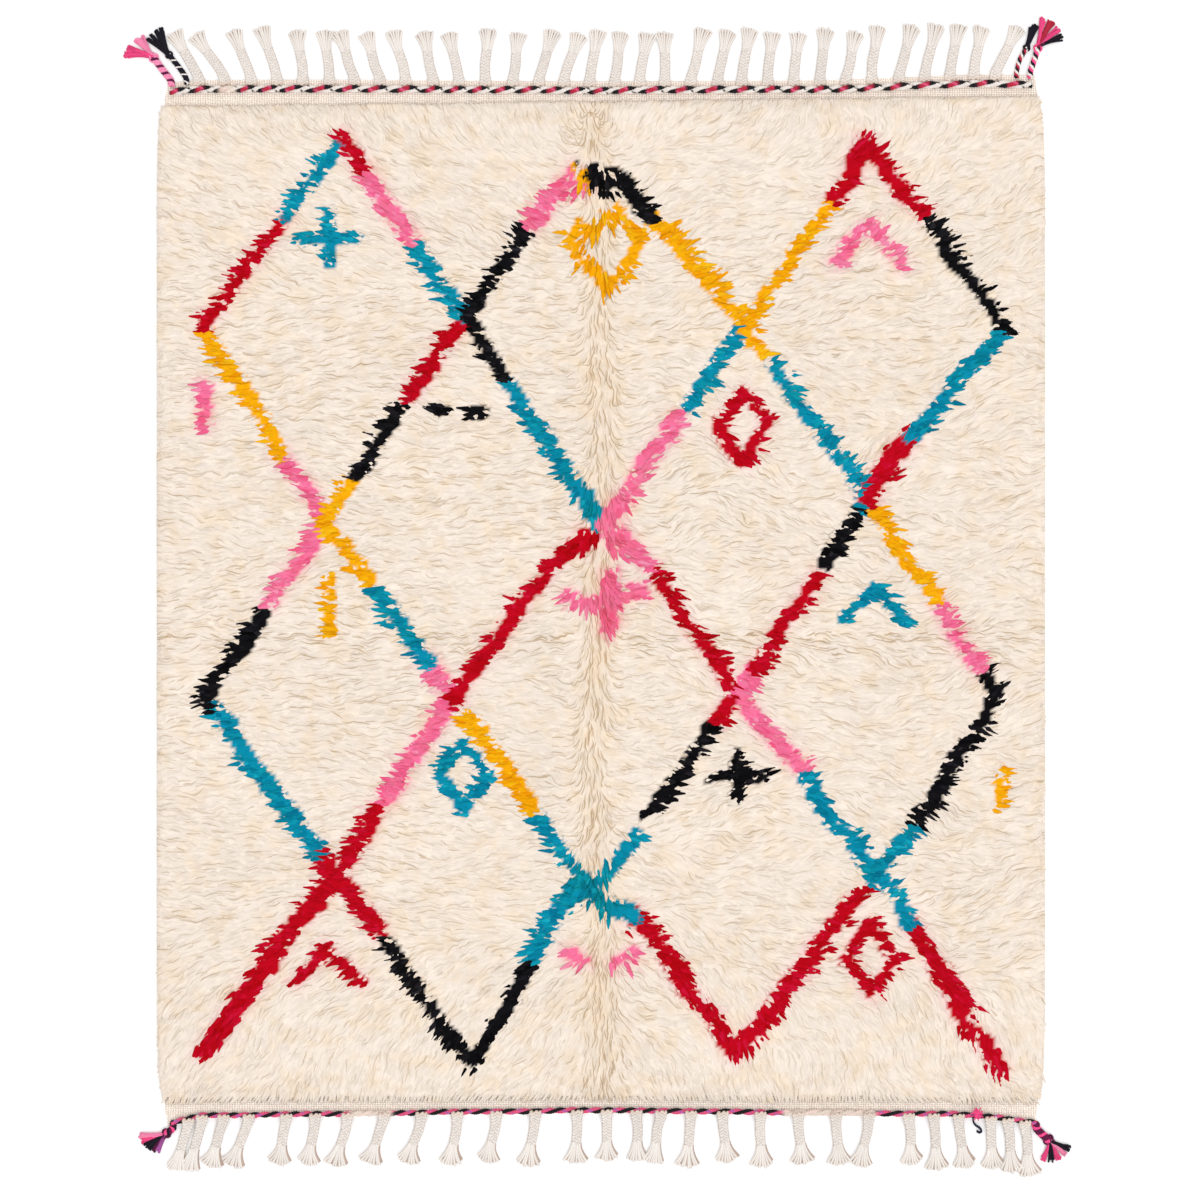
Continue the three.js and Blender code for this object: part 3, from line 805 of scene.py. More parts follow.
@dataclass(frozen=True)
class PliedYarn(Finish):
    """Spun and plied yarn in the colours of its strands' vertex colours, with painted shade on the
    strands' sides and painted light on its slanting plies.
    """

    ply_pitch: float = 0.0036
    ply_slant: float = 0.6
    # Painted light: how much paler the plies are where they stand higher.
    ply_light: float = 0.16
    ply_depth: float = 0.0003
    light: float = 0.90
    fuzz_range: float = 0.16
    patch_range: float = 0.12
    sheen: float = 0.10
    fluff: float = 0.4
    # Painted shade tint for the strands' sides.
    crease_shade_tint: Colour = (0.60, 0.48, 0.41, 1.0)

    def make(self) -> bpy.types.Material:
        """Builds the material's nodes.

        Returns:
            A material that reads its colour, and in alpha its painted shade share, from the
            strands, and its twist from the UV map.
        """
        bench = Bench(self.name)
        attribute = bench.add("Attribute", attribute_name="dye")
        # Painted shade: the dye tinted darker where alpha is low, on the strands' sides.
        shaded_dye = bench.blend(1.0, attribute.outputs["Color"], self.crease_shade_tint, "MULTIPLY")
        dye = bench.blend(attribute.outputs["Alpha"], shaded_dye, attribute.outputs["Color"])
        lay = bench.add("UVMap", uv_map="lay").outputs[0]
        slant = {"Vector": lay, "Rotation": (0.0, 0.0, self.ply_slant)}
        twist = bench.add("Mapping", slant).outputs[0]
        wave = {"Vector": twist, "Scale": WAVE / self.ply_pitch, "Distortion": 1.2, "Detail": 1.0,
                "Detail Scale": 2.0}
        plies = bench.add("TexWave", wave, bands_direction="Y").outputs["Fac"]
        fuzz = bench.noise(lay, 1400.0, 3.0)
        patch = bench.noise(bench.add("TexCoord").outputs["Object"], 22.0, 3.0)
        # Painted light and shade: paler on the plies' crests, darker in the grooves between them,
        # matching the bump.
        light = bench.sum("MULTIPLY_ADD", plies, self.ply_light, self.light)
        light = bench.vary(bench.vary(light, fuzz, self.fuzz_range), patch, self.patch_range)
        height = bench.sum("MULTIPLY_ADD", fuzz, 0.5, plies)
        return bench.settle(
            bench.shine(dye, light), height, self.ply_depth, self.fluff,
            Roughness=0.9, Specular_IOR_Level=0.2, Sheen_Weight=self.sheen, Sheen_Roughness=0.5,
        )


@dataclass(frozen=True)
class FlatWeave(Finish):
    """Close plain weave: fine ribs one way, beaten wefts the other, in its faces' colours, painted
    paler where the threads cross highest.
    """

    weft_pitch: float = 0.0036
    warp_pitch: float = 0.0042
    weave_depth: float = 0.0003
    # Painted light: how much paler the weave is where its ribs cross highest.
    pick_light: float = 0.65
    light: float = 0.79
    fuzz_range: float = 0.50
    patch_range: float = 0.14

    def make(self) -> bpy.types.Material:
        """Builds the material's nodes.

        Returns:
            A material with a woven relief on the piece's own coordinates.
        """
        bench = Bench(self.name)
        dye = bench.add("Attribute", attribute_name="dye").outputs["Color"]
        place = bench.add("TexCoord").outputs["Object"]
        ribs = []
        for pitch, way in ((self.warp_pitch, "X"), (self.weft_pitch, "Y")):
            wave = {"Vector": place, "Scale": WAVE / pitch, "Distortion": 3.6, "Detail": 2.0,
                    "Detail Scale": 2.4}
            ribs.append(bench.add("TexWave", wave, bands_direction=way).outputs["Fac"])
        pick = bench.sum("MULTIPLY", *ribs)
        fuzz = bench.noise(place, 420.0, 3.0)
        patch = bench.noise(place, 14.0, 4.0)
        # Painted light: paler where the ribs cross and the weave stands highest in the bump.
        light = bench.sum("MULTIPLY_ADD", pick, self.pick_light, self.light)
        light = bench.vary(bench.vary(light, fuzz, self.fuzz_range), patch, self.patch_range)
        height = bench.sum("MULTIPLY_ADD", fuzz, 0.4, pick)
        return bench.settle(
            bench.shine(dye, light), height, self.weave_depth,
            Roughness=0.95, Specular_IOR_Level=0.15, Sheen_Weight=0.1, Sheen_Roughness=0.5,
        )


@dataclass(frozen=True)
class PaleFloor(Finish):
    """The plain pale floor that the rug lies on."""

    face: Colour = (0.95, 0.95, 0.95, 1.0)
    cloud: Colour = (0.94525, 0.94525, 0.94525, 1.0)
    glow: float = 0.12

    def make(self) -> bpy.types.Material:
        """Builds the material's nodes.

        Returns:
            A matt white with a very faint unevenness.
        """
        bench = Bench(self.name)
        cloud = bench.noise(bench.add("TexCoord").outputs["Object"], 3.0)
        colour = bench.blend(cloud, self.face, self.cloud)
        bench.shader.inputs["Emission Color"].default_value = (1.0, 1.0, 1.0, 1.0)
        return bench.settle(colour, cloud, 0.0001, Roughness=0.9, Specular_IOR_Level=0.1,
                            Emission_Strength=self.glow)


class Yarn(Enum):
    """The dyed wools of the rug."""

    CREAM = linear(235, 222, 209)
    RED = linear(186, 2, 26)
    TEAL = linear(3, 136, 166)
    PINK = linear(238, 112, 154)
    SAFFRON = linear(240, 168, 6)
    BLACK = linear(13, 12, 16)


YARNS = tuple(Yarn)
BACK_CREAM = linear(232, 218, 200)
WARP = linear(246, 242, 237)
WARP_SHADE = linear(239, 224, 211)
# Painted shadow tint of the warp yarn, for strands and plies that lie low or under others.
WARP_SHADOW_TINT = linear(186, 158, 140)
CORD_RED = linear(190, 42, 68)
CORD_PINK = linear(220, 84, 126)
CORD_WHITE = linear(240, 232, 226)
CORD_BLACK = linear(24, 22, 26)
TASSEL_PINK = linear(250, 80, 144)
TASSEL_ROSE = linear(250, 146, 186)
TASSEL_LILAC = linear(186, 98, 178)
TASSEL_PLUM = linear(96, 20, 66)
TASSEL_BLACK = linear(22, 18, 32)


class Motif(Enum):
    """The small ordinary signs that sit inside the lozenges, as lines around their middles."""

    CROSS = (((-1, 0), (1, 0)), ((0, -1), (0, 1)))
    LOZENGE = (((0, -1.1), (0.8, 0), (0, 1.1), (-0.8, 0), (0, -1.1)),)
    CHEVRON = (((-1, -0.5), (0, 0.5), (1, -0.5)),)
    PAIR = (((-0.7, 0), (-0.45, 0)), ((0.45, 0), (0.7, 0)))
    BAR = (((0, -1), (0, 1)),)


@dataclass(frozen=True)
class Stroke:
    """One run of dyed knots along a line."""

    yarn: Yarn
    points: tuple[Point, ...]
    width: float


@dataclass
class Trellis:
    """An uneven hand-drawn trellis of tall lozenges with a small sign in some of them."""

    columns: int = 6
    tiers: int = 5
    left: float = -660.0
    foot: float = -765.0
    column_step: float = 220.0
    tier_step: float = 306.0
    sway: float = 17.0
    sway_along: float = 1.3
    bow: float = 6.0
    steps: int = 6
    widest: float = 29.0
    narrowest: float = 20.0
    longest_run: float = 330.0
    shortest_run: float = 110.0
    gap: float = 34.0
    gap_share: float = 0.55
    sign_width: float = 18.0
    seed: int = 31
    stain_reach: float = 7.0
    order: str = "RRTKPSRTKRPTSKRTPRKTS"
    strokes: list[Stroke] = field(default_factory=list)

    SIGNS = (
        (Motif.CROSS, -445, 612, 46, Yarn.TEAL), (Motif.LOZENGE, 8, 610, 56, Yarn.SAFFRON),
        (Motif.CHEVRON, 437, 600, 56, Yarn.PINK), (Motif.PAIR, -225, 318, 56, Yarn.BLACK),
        (Motif.LOZENGE, 225, 300, 54, Yarn.RED), (Motif.CROSS, 8, 12, 48, Yarn.PINK),
        (Motif.BAR, -442, -10, 46, Yarn.SAFFRON), (Motif.CHEVRON, 448, -6, 54, Yarn.TEAL),
        (Motif.CROSS, 214, -306, 46, Yarn.BLACK), (Motif.LOZENGE, -214, -300, 54, Yarn.TEAL),
        (Motif.LOZENGE, 442, -606, 52, Yarn.RED), (Motif.PAIR, 0, -598, 56, Yarn.PINK),
        (Motif.CHEVRON, -448, -612, 54, Yarn.RED), (Motif.BAR, -655, 330, 34, Yarn.PINK),
        (Motif.BAR, 662, -316, 34, Yarn.SAFFRON),
    )
    INITIALS = {"R": Yarn.RED, "T": Yarn.TEAL, "P": Yarn.PINK, "S": Yarn.SAFFRON, "K": Yarn.BLACK}
    STAINS = {Yarn.PINK: 0.42, Yarn.RED: 0.26}

    def __post_init__(self) -> None:
        """Draws every stroke."""
        run = 0
        for column in range(self.columns):
            run = self._draw_line(self._zigzag(column), run)
        for sign, x, y, size, yarn in self.SIGNS:
            for line in sign.value:
                points = tuple((x + size * u, y + size * v) for u, v in line)
                self.strokes.append(Stroke(yarn, points, self.sign_width))

    def _node(self, column: int, tier: int) -> Point:
        """A crossing of the trellis, a little off its place."""
        n = column * 11 + tier
        x = self.left + column * self.column_step + self.sway * uneven(n, self.seed)
        sway = self.sway * self.sway_along * uneven(n, self.seed + 1)
        return (x, self.foot + tier * self.tier_step + sway)

    def _zigzag(self, column: int) -> list[Point]:
        """One line of the trellis from the foot of the rug to its top, as close points."""
        corners = [self._node(column + (tier + column) % 2, tier) for tier in range(self.tiers + 1)]
        points = [corners[0]]
        for n, (a, b) in enumerate(zip(corners, corners[1:])):
            for step in range(1, self.steps + 1):
                share = step / self.steps
                bow = self.bow * uneven(97 * column + 13 * n + step, 41) if share < 1 else 0.0
                x, y = self._between(a, b, share)
                points.append((x + bow, y))
        return points

    def _draw_line(self, points: list[Point], run: int) -> int:
        """Splits a line into runs of yarn.

        Args:
            points: The line.
            run: How many runs have been drawn before.

        Returns:
            How many runs have been drawn now.
        """
        left, part = self._run_length(run), [points[0]]
        for a, b in zip(points, points[1:]):
            length = math.dist(a, b)
            at = 0.0
            while length - at > left:
                at += left
                self._finish_run([*part, self._between(a, b, at / length)], run)
                run += 1
                skipped = self.gap if uneven(run, 52) > self.gap_share else 0.0
                at = min(at + skipped, length)
                part = [self._between(a, b, at / length)]
                left = self._run_length(run)
            left -= length - at
            part.append(b)
        self._finish_run(part, run)
        return run + 1

    @staticmethod
    def _between(a: Point, b: Point, share: float) -> Point:
        """The point a share of the way from a to b."""
        return (mix(a[0], b[0], share), mix(a[1], b[1], share))

    def _run_length(self, run: int) -> float:
        """How far one yarn goes before the next."""
        return mix(self.shortest_run, self.longest_run, (uneven(run, 51) + 1) / 2)

    def _finish_run(self, points: list[Point], run: int) -> None:
        """Keeps one run as a stroke."""
        yarn = self.INITIALS[self.order[run % len(self.order)]]
        width = mix(self.narrowest, self.widest, (uneven(run, 53) + 1) / 2)
        self.strokes.append(Stroke(yarn, tuple(points), width))

    @staticmethod
    def _distance(stroke: Stroke, x: np.ndarray, y: np.ndarray) -> np.ndarray:
        """How far each place is from a stroke's line."""
        nearest = np.full(x.shape, FAR)
        for (ax, ay), (bx, by) in zip(stroke.points, stroke.points[1:]):
            dx, dy = bx - ax, by - ay
            share = ((x - ax) * dx + (y - ay) * dy) / max(dx * dx + dy * dy, TINY)
            share = np.clip(share, 0, 1)
            nearest = np.minimum(nearest, np.hypot(x - ax - share * dx, y - ay - share * dy))
        return nearest

    def knots(
        self, x: np.ndarray, y: np.ndarray, ragged: np.ndarray,
    ) -> tuple[np.ndarray, np.ndarray, np.ndarray]:
        """Which wool each knot is tied in.

        Args:
            x: The knots' places across.
            y: Their places along.
            ragged: How far each moves the line's edge, in millimetres.

        Returns:
            The number of each knot's wool, how much dye a cream one has taken from its
            neighbours, and how far the nearest dyed line is.
        """
        wool = np.zeros(x.shape, int)
        stain = np.zeros(x.shape)
        nearest = np.full(x.shape, FAR)
        for stroke in self.strokes:
            away = self._distance(stroke, x, y) - stroke.width / 2
            wool[away < ragged] = YARNS.index(stroke.yarn)
            nearest = np.minimum(nearest, away)
            if stroke.yarn in self.STAINS:
                taken = np.exp(-np.maximum(away, 0) / self.stain_reach)
                stain = np.maximum(stain, self.STAINS[stroke.yarn] * taken)
        return wool, stain, nearest


def wool_colour(wool: np.ndarray, stain: np.ndarray, tone: np.ndarray) -> np.ndarray:
    """The colours of dyed wool.

    Args:
        wool: The number of each place's wool.
        stain: How much pink dye a cream one has taken.
        tone: How pale each is by itself.

    Returns:
        The colours, with 1 in alpha.
    """
    palette = np.array([yarn.value for yarn in YARNS])
    share = np.where(wool == 0, stain, 0)[:, None]
    colour = tinted(palette[wool], Yarn.PINK.value, share)
    pale, tone = (wool == 0)[:, None], tone[:, None]
    return opaque(np.where(pale, colour * tone, colour ** (2 - tone)))


def mark(mesh: bpy.types.Mesh, crease_shade: np.ndarray, lie: np.ndarray) -> None:
    """Notes at each of a mesh's points how strongly painted crease shade is drawn there and how the
    wool lies.
    """
    note(mesh, "crease_shade", Note.NUMBER, crease_shade)
    note(mesh, "lie", Note.WAY, np.column_stack([lie, np.zeros(len(lie))]))


class End(Enum):
    """The two ends of the rug, by which way each faces."""

    TOP = 1
    BOTTOM = -1


@dataclass(frozen=True)
class Pull:
    """How the combing turns lengthways towards one end of the rug."""

    end: End
    first: float
    reach: float
    strength: float

    def at(self, y: np.ndarray) -> np.ndarray:
        """How strongly the wool is pulled towards the top at each place."""
        return self.strength * ease((self.end.value * y - self.first) / self.reach)


@dataclass
class Comb:
    """Which way the pile lies, and how high it stands, everywhere on the field."""

    # The parting: its course, its width and depth, and how the wool turns in it
    parting_x: float = -4.0
    parting_bow: float = 9.0
    parting_wave: float = 170.0
    parting_sway: float = 6.0
    parting_reach: float = 34.0
    parting_depth: float = 3.0
    # How much darker and yellower the colour is made towards the parting's middle.
    parting_tint: Colour = (0.01, 0.045, 0.10, 0.0)
    parting_core: float = 27.0
    parting_side: float = 20.0
    parting_flat: float = 0.90
    parting_pull: float = -1.9
    parting_unevenness: float = 0.3
    # The crossways fold
    fold_y: float = -68.0
    fold_reach: float = 48.0
    fold_depth: float = 2.0
    fold_pull: float = 0.14
    fold_side: float = 2.2
    # The turns of the combing elsewhere; of a pair, one is for the left and one for the right
    pulls: tuple[Pull, ...] = (Pull(End.TOP, 430, 260, 0.35), Pull(End.TOP, 745, 95, 1.7),
                               Pull(End.BOTTOM, 520, 330, -1.9))
    right_reach: float = 200.0
    swirl_turn: Point = (0.22, 0.58)
    slow_turn: Point = (0.18, 0.40)
    lock_turn: float = 0.14
    held: float = 0.75
    # How strongly painted crease shade is drawn on the wool
    creasing: float = 0.44
    creasing_right: float = 0.08
    creasing_ends: float = 0.16
    creasing_range: float = 0.16
    creasing_parting: float = 1.5
    creasing_most: float = 1.4
    ends_from: float = 640.0
    ends_reach: float = 160.0
    # The height of the pile, its swell, and its fall at the sides and ends
    height: float = 21.5
    lump: float = 1.1
    swell: float = 0.8
    swell_pitch: float = 104.0
    swell_bow: float = 1.3
    swell_width: float = 210.0
    overhang: float = 8.0
    side_fall: float = 0.42
    side_reach: float = 9.0
    end_fall: float = 0.58
    end_reach: float = 24.0
    slow: Drift = field(default_factory=lambda: Drift(3, 150, 90))
    swirl: Drift = field(default_factory=lambda: Drift(4, 70, 34))
    rise: Drift = field(default_factory=lambda: Drift(5, 46, 22))
    sway: Drift = field(default_factory=lambda: Drift(6, 400, 120))
    calm: Drift = field(default_factory=lambda: Drift(8, 190, 120))

    def from_parting(self, x: np.ndarray, y: np.ndarray) -> np.ndarray:
        """How far each place is from the lengthways parting, and on which side."""
        bow = self.parting_bow * np.sin(y / self.parting_wave)
        return x - self.parting_x - bow - self.parting_sway * self.sway.at(x * 0, y)

    def parting(self, x: np.ndarray, y: np.ndarray) -> np.ndarray:
        """The share of the parting at each place, 1 in its middle."""
        return np.exp(-(self.from_parting(x, y) / self.parting_reach) ** 2)

    def fold(self, y: np.ndarray) -> np.ndarray:
        """The share of the crossways fold at each place, 1 in its middle."""
        return np.exp(-2 * ((y - self.fold_y) / self.fold_reach) ** 2)

    def crease_shade(self, x: np.ndarray, y: np.ndarray) -> np.ndarray:
        """How strongly painted crease shade is drawn at each place, 0 where the wool lies smooth.
        """
        right = ease(self.from_parting(x, y) / self.right_reach)
        ends = self.creasing_ends * ease((np.abs(y) - self.ends_from) / self.ends_reach)
        plain = self.creasing - self.creasing_right * right - ends
        plain = plain + self.creasing_range * self.calm.at(x, y)
        marked = np.maximum(self.creasing_parting * self.parting(x, y), self.fold(y))
        return np.clip(np.maximum(plain, marked), 0, self.creasing_most)

    def parting_tinted(self, x: np.ndarray, y: np.ndarray) -> np.ndarray:
        """The colour made a little darker and yellower towards the parting's middle, as four
        factors at each place.
        """
        return 1 - np.outer(self.parting(x, y), self.parting_tint)

    def heading(self, x: np.ndarray, y: np.ndarray, jitter: np.ndarray | float) -> np.ndarray:
        """The direction that each lock lies in.

        Args:
            x: The locks' places across.
            y: Their places along.
            jitter: A value from -1 to 1 for each lock.

        Returns:
            The level unit vectors, locks by two.
        """
        off = self.from_parting(x, y)
        core = np.exp(-(off / self.parting_core) ** 2)
        side = np.tanh(off / self.parting_side) * (1 - self.parting_flat * core)
        uneven_pull = 1 + self.parting_unevenness * self.slow.at(x, y * 2)
        along = self.parting_pull * core * uneven_pull
        for pull in self.pulls:
            along += pull.at(y)
        fold = (y - self.fold_y) / self.fold_reach
        along += self.fold_pull * np.tanh(self.fold_side * fold) * np.exp(-fold * fold)
        right = ease(off / self.right_reach + 0.5)
        loose = 1 - self.held * np.maximum(core, self.fold(y))
        turn = np.arctan2(along, side) + self.lock_turn * jitter
        turn += loose * self.swirl.at(x, y) * mix(*self.swirl_turn, right)
        turn += loose * self.slow.at(x, y) * mix(*self.slow_turn, right)
        return np.column_stack([np.cos(turn), np.sin(turn)])

    def top(self, x: np.ndarray, y: np.ndarray) -> np.ndarray:
        """How high the middle of the locks lies at each place."""
        bow = self.swell_bow * np.sin(x / self.swell_width)
        swell = self.swell * np.sin(2 * math.pi * y / self.swell_pitch + bow)
        height = self.height + swell + self.lump * self.rise.at(x, y)
        return height - self.parting_depth * self.parting(x, y) - self.fold_depth * self.fold(y)

    def surface(self, x: np.ndarray, y: np.ndarray) -> np.ndarray:
        """The same height, but falling towards the field's sides and its two ends."""
        rim = np.maximum(half_width(y) + self.overhang - np.abs(x), 0)
        ends = np.maximum(np.minimum(top_end(x) - y, y - bottom_end(x)), 0)
        fall = np.maximum(self.side_fall * np.exp(-rim / self.side_reach),
                          self.end_fall * np.exp(-ends / self.end_reach))
        return self.top(x, y) * (1 - fall)


@dataclass
class Pile:
    """The knotted pile: locks of wool on the knots, row after row, with only some of the cream ones
    where the wool lies matted.
    """

    trellis: Trellis
    comb: Comb
    # Where the knots are tied
    columns: int = 182
    rows: int = 122
    strands: int = 2
    edge_inset: float = 5.0
    foot_inset: float = 10.0
    head_inset: float = 15.0
    rough_half_width: float = 740.0
    stray: Point = (3.0, 2.0)
    wander: float = 2.6
    shiver: float = 1.8
    strand_step: float = 6.4
    end_give: float = 2.0
    ragged: Point = (3.0, 2.5)
    # The shape of a lock, ring by ring
    root: float = 3.2
    lock_length: float = 38.0
    length_range: float = 0.2
    half_wide: tuple[float, ...] = (3.6, 4.4, 4.0, 1.1)
    half_tall: tuple[float, ...] = (1.2, 1.5, 1.1, 0.4)
    along_share: tuple[float, ...] = (0.0, 0.16, 0.56, 1.0)
    height_share: tuple[float, ...] = (0.0, 0.72, 0.98, 0.90)
    drop_share: tuple[float, ...] = (0.0, 0.0, 0.12, 1.0)
    # Painted shade along each lock: 1 unshaded, darker towards its root.
    ring_light_share: tuple[float, ...] = (0.6, 0.85, 1.0, 0.96)
    # How the locks differ, and how they change towards the edge
    lift: Point = (-1.4, 0.3)
    bulk_range: float = 0.16
    thin_reach: float = 110.0
    thin_wide: float = 0.34
    thin_tall: float = 0.4
    dyed_lift: float = 0.9
    bend: Point = (2.8, 1.5)
    rim_reach: float = 24.0
    rim_drop: float = 0.14
    tip_range: float = 0.05
    parting_short: float = 0.05
    overhang: float = 8.0
    overhang_range: float = 1.0
    head_short: float = 7.5
    foot_over: float = 1.5
    shortest: float = 7.0
    tone_range: Point = (0.22, 0.2)
    dyed_tone: Point = (0.72, 1.28)
    cream_tone: Point = (0.96, 1.02)
    # How strongly painted shade darkens the sides of dyed and cream locks.
    dyed_side_shade: float = 0.5
    cream_side_shade: float = 0.3
    # Which cream locks lie loose on the matted wool
    loose_share: float = 0.30
    line_margin: Point = (2.0, 10.0)
    rim_margin: Point = (8.0, 12.0)
    end_margin: Point = (20.0, 60.0)
    sections: tuple[str, ...] = ("foot", "lower", "upper", "top")
    seed: int = 7

    def build(self) -> list[Piece]:
        """Ties the knots and makes a piece for each section of cream and each dyed wool.

        Returns:
            The pieces.
        """
        rng = np.random.default_rng(self.seed)
        row, x, y = self._tie(rng)
        count = row.size
        ragged = self.ragged[0] * rng.uniform(-1, 1, count)
        ragged = ragged + self.ragged[1] * Drift(23, 40, 14).at(x, y)
        wool, stain, nearest = self.trellis.knots(x, y, ragged)
        dyed = wool > 0

        lie = self.comb.heading(x, y, rng.uniform(-1, 1, count))
        length = self._lengths(x, y, lie, rng)
        lift = rng.uniform(*self.lift, count) + np.where(dyed, self.dyed_lift, 0.0)
        ends = np.minimum(top_end(x) - y, y - bottom_end(x))
        rim = np.minimum(half_width(y) - np.abs(x), ends)
        matted = past(nearest, self.line_margin) * past(rim, self.rim_margin)
        matted = matted * past(ends, self.end_margin)
        kept = dyed | (rng.uniform(0, 1, count) < 1 - (1 - self.loose_share) * matted)
        paths = self._paths(x, y, lie, length, lift, rim, rng)
        rings = paths.shape[1]
        combed = self.comb.heading(paths[..., 0].ravel(), paths[..., 1].ravel(), 0.0)
        combed = combed.reshape(count, rings, 2)
        crease_shade = np.repeat(self.comb.crease_shade(x, y)[:, None], rings, axis=1)

        bulk = 1 + self.bulk_range * rng.uniform(-1, 1, count)
        near_end = ease(1 - ends / self.thin_reach)
        wide = (bulk * (1 - self.thin_wide * near_end))[:, None] * np.array(self.half_wide)
        tall = (bulk * (1 - self.thin_tall * near_end))[:, None] * np.array(self.half_tall)
        tone = 0.5 + self.tone_range[0] * rng.standard_normal(count)
        tone = np.clip(tone + self.tone_range[1] * Drift(25, 60, 30).at(x, y), 0, 1)
        tone = np.where(dyed, mix(*self.dyed_tone, tone), mix(*self.cream_tone, tone))
        colour = wool_colour(wool, stain, tone) * self.comb.parting_tinted(x, y)
        dye = np.repeat(colour[:, None], rings, axis=1)
        # Painted shade: alpha darker towards each lock's root, and on its sides by edge.
        dye[..., 3] = np.array(self.ring_light_share)
        edge = np.where(dyed, self.dyed_side_shade, self.cream_side_shade)

        corners = len(LOCK_SECTION.outline)
        pieces = []
        for name, chosen in self._parts(row, wool, kept).items():
            skein = Skein(name)
            skein.lay(paths[chosen], wide[chosen], tall[chosen], LOCK_SECTION, dye[chosen],
                      lie[chosen], edge[chosen])
            piece = skein.bind(PileWool("lock_wool", "shag"))
            mark(piece.data, np.repeat(crease_shade[chosen].ravel(), corners),
                 np.repeat(combed[chosen].reshape(-1, 2), corners, axis=0))
            pieces.append(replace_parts(piece, "shag_field"))
            LOG.info("%s: %.1f%% of the knots", name, 100 * chosen.mean())
        return pieces

    def _tie(self, rng: np.random.Generator) -> tuple[np.ndarray, np.ndarray, np.ndarray]:
        """Places the knots.

        Args:
            rng: The source of unevenness.

        Returns:
            Each strand's row, its place across and its place along.
        """
        row, column = np.mgrid[0:self.rows, 0:self.columns]
        row, column = (np.repeat(n.ravel(), self.strands) for n in (row, column))
        count = row.size
        lane = np.arange(count) % self.strands - (self.strands - 1) / 2
        across = ((column + 0.25 + 0.5 * (row % 2)) / self.columns) * 2 - 1
        rough = across * self.rough_half_width
        low, high = bottom_end(rough) + self.foot_inset, top_end(rough) - self.head_inset
        y = low + (high - low) * (row + 0.5) / self.rows
        x = across * (half_width(y) - self.edge_inset)
        x = x + self.stray[0] * rng.uniform(-1, 1, count)
        strayed = self.wander * Drift(21, 60, 30).at(x, y)
        strayed = strayed + self.shiver * Drift(22, 24, 20).at(x, y)
        y = y + strayed + self.stray[1] * rng.uniform(-1, 1, count) + self.strand_step * lane
        return row, x, np.clip(y, low - self.end_give, high + self.end_give)

    def _paths(self, x: np.ndarray, y: np.ndarray, lie: np.ndarray, length: np.ndarray,
               lift: np.ndarray, rim: np.ndarray, rng: np.random.Generator) -> np.ndarray:
        """The middles of the locks.

        Args:
            x: The knots' places across.
            y: Their places along.
            lie: The directions that the locks lie in.
            length: Their lengths.
            lift: How much higher than the pile each stands.
            rim: How far each is from the edge of the field.
            rng: The source of unevenness.

        Returns:
            The middles, locks by rings by three.
        """
        along = np.array(self.along_share)
        bend = self.bend[0] * Drift(24, 30, 16).at(x, y)
        bend = bend + self.bend[1] * rng.uniform(-1, 1, x.size)
        drop = np.where(rim < self.rim_reach, self.rim_drop, 0.0)
        drop = drop + self.tip_range * rng.uniform(-1, 1, x.size)
        reach, curve = length[:, None] * along, bend[:, None] * along ** 2
        paths = np.empty((x.size, len(along), 3))
        for axis, start in enumerate((x, y)):
            paths[..., axis] = start[:, None] + lie[:, axis, None] * reach
            paths[..., axis] += turned(lie)[:, axis, None] * curve
        rise = np.array(self.height_share) - drop[:, None] * np.array(self.drop_share)
        height = self.comb.surface(paths[..., 0], paths[..., 1]) + lift[:, None]
        paths[..., 2] = self.root + (height - self.root) * rise
        return paths

    def _parts(self, row: np.ndarray, wool: np.ndarray, kept: np.ndarray) -> dict[str, np.ndarray]:
        """Which strands each piece is made of.

        Args:
            row: Each strand's row.
            wool: The number of its wool.
            kept: Whether it shows as a lock of its own.

        Returns:
            The choice of strands by the piece's name.
        """
        section = row * len(self.sections) // self.rows
        cream = kept & (wool == 0)
        parts = {f"pile_cream_{name}": cream & (section == n)
                 for n, name in enumerate(self.sections)}
        parts |= {f"pile_{yarn.name.lower()}": wool == n for n, yarn in enumerate(YARNS) if n}
        return parts

    def _lengths(self, x: np.ndarray, y: np.ndarray, lie: np.ndarray,
                 rng: np.random.Generator) -> np.ndarray:
        """The locks' lengths, shortened where they would hang far over the edge.

        Args:
            x: The knots' places across.
            y: Their places along.
            lie: The directions that the locks lie in.
            rng: The source of unevenness.

        Returns:
            The lengths.
        """
        length = self.lock_length * (1 + self.length_range * rng.uniform(-1, 1, x.size))
        length = length * (1 - self.parting_short * self.comb.parting(x, y))
        over = self.overhang + self.overhang_range * rng.uniform(-1, 1, x.size)
        outwards, upwards, least = lie[:, 0] * np.sign(x), lie[:, 1], 1e-3
        side_room = (half_width(y) + over - np.abs(x)) / np.maximum(outwards, least)
        head_room = (top_end(x) - self.head_short + over - y) / np.maximum(upwards, least)
        foot_room = (y - bottom_end(x) + self.foot_over + over) / np.maximum(-upwards, least)
        room = np.minimum(np.minimum(side_room, head_room), foot_room)
        return np.clip(np.minimum(length, room), self.shortest, None)


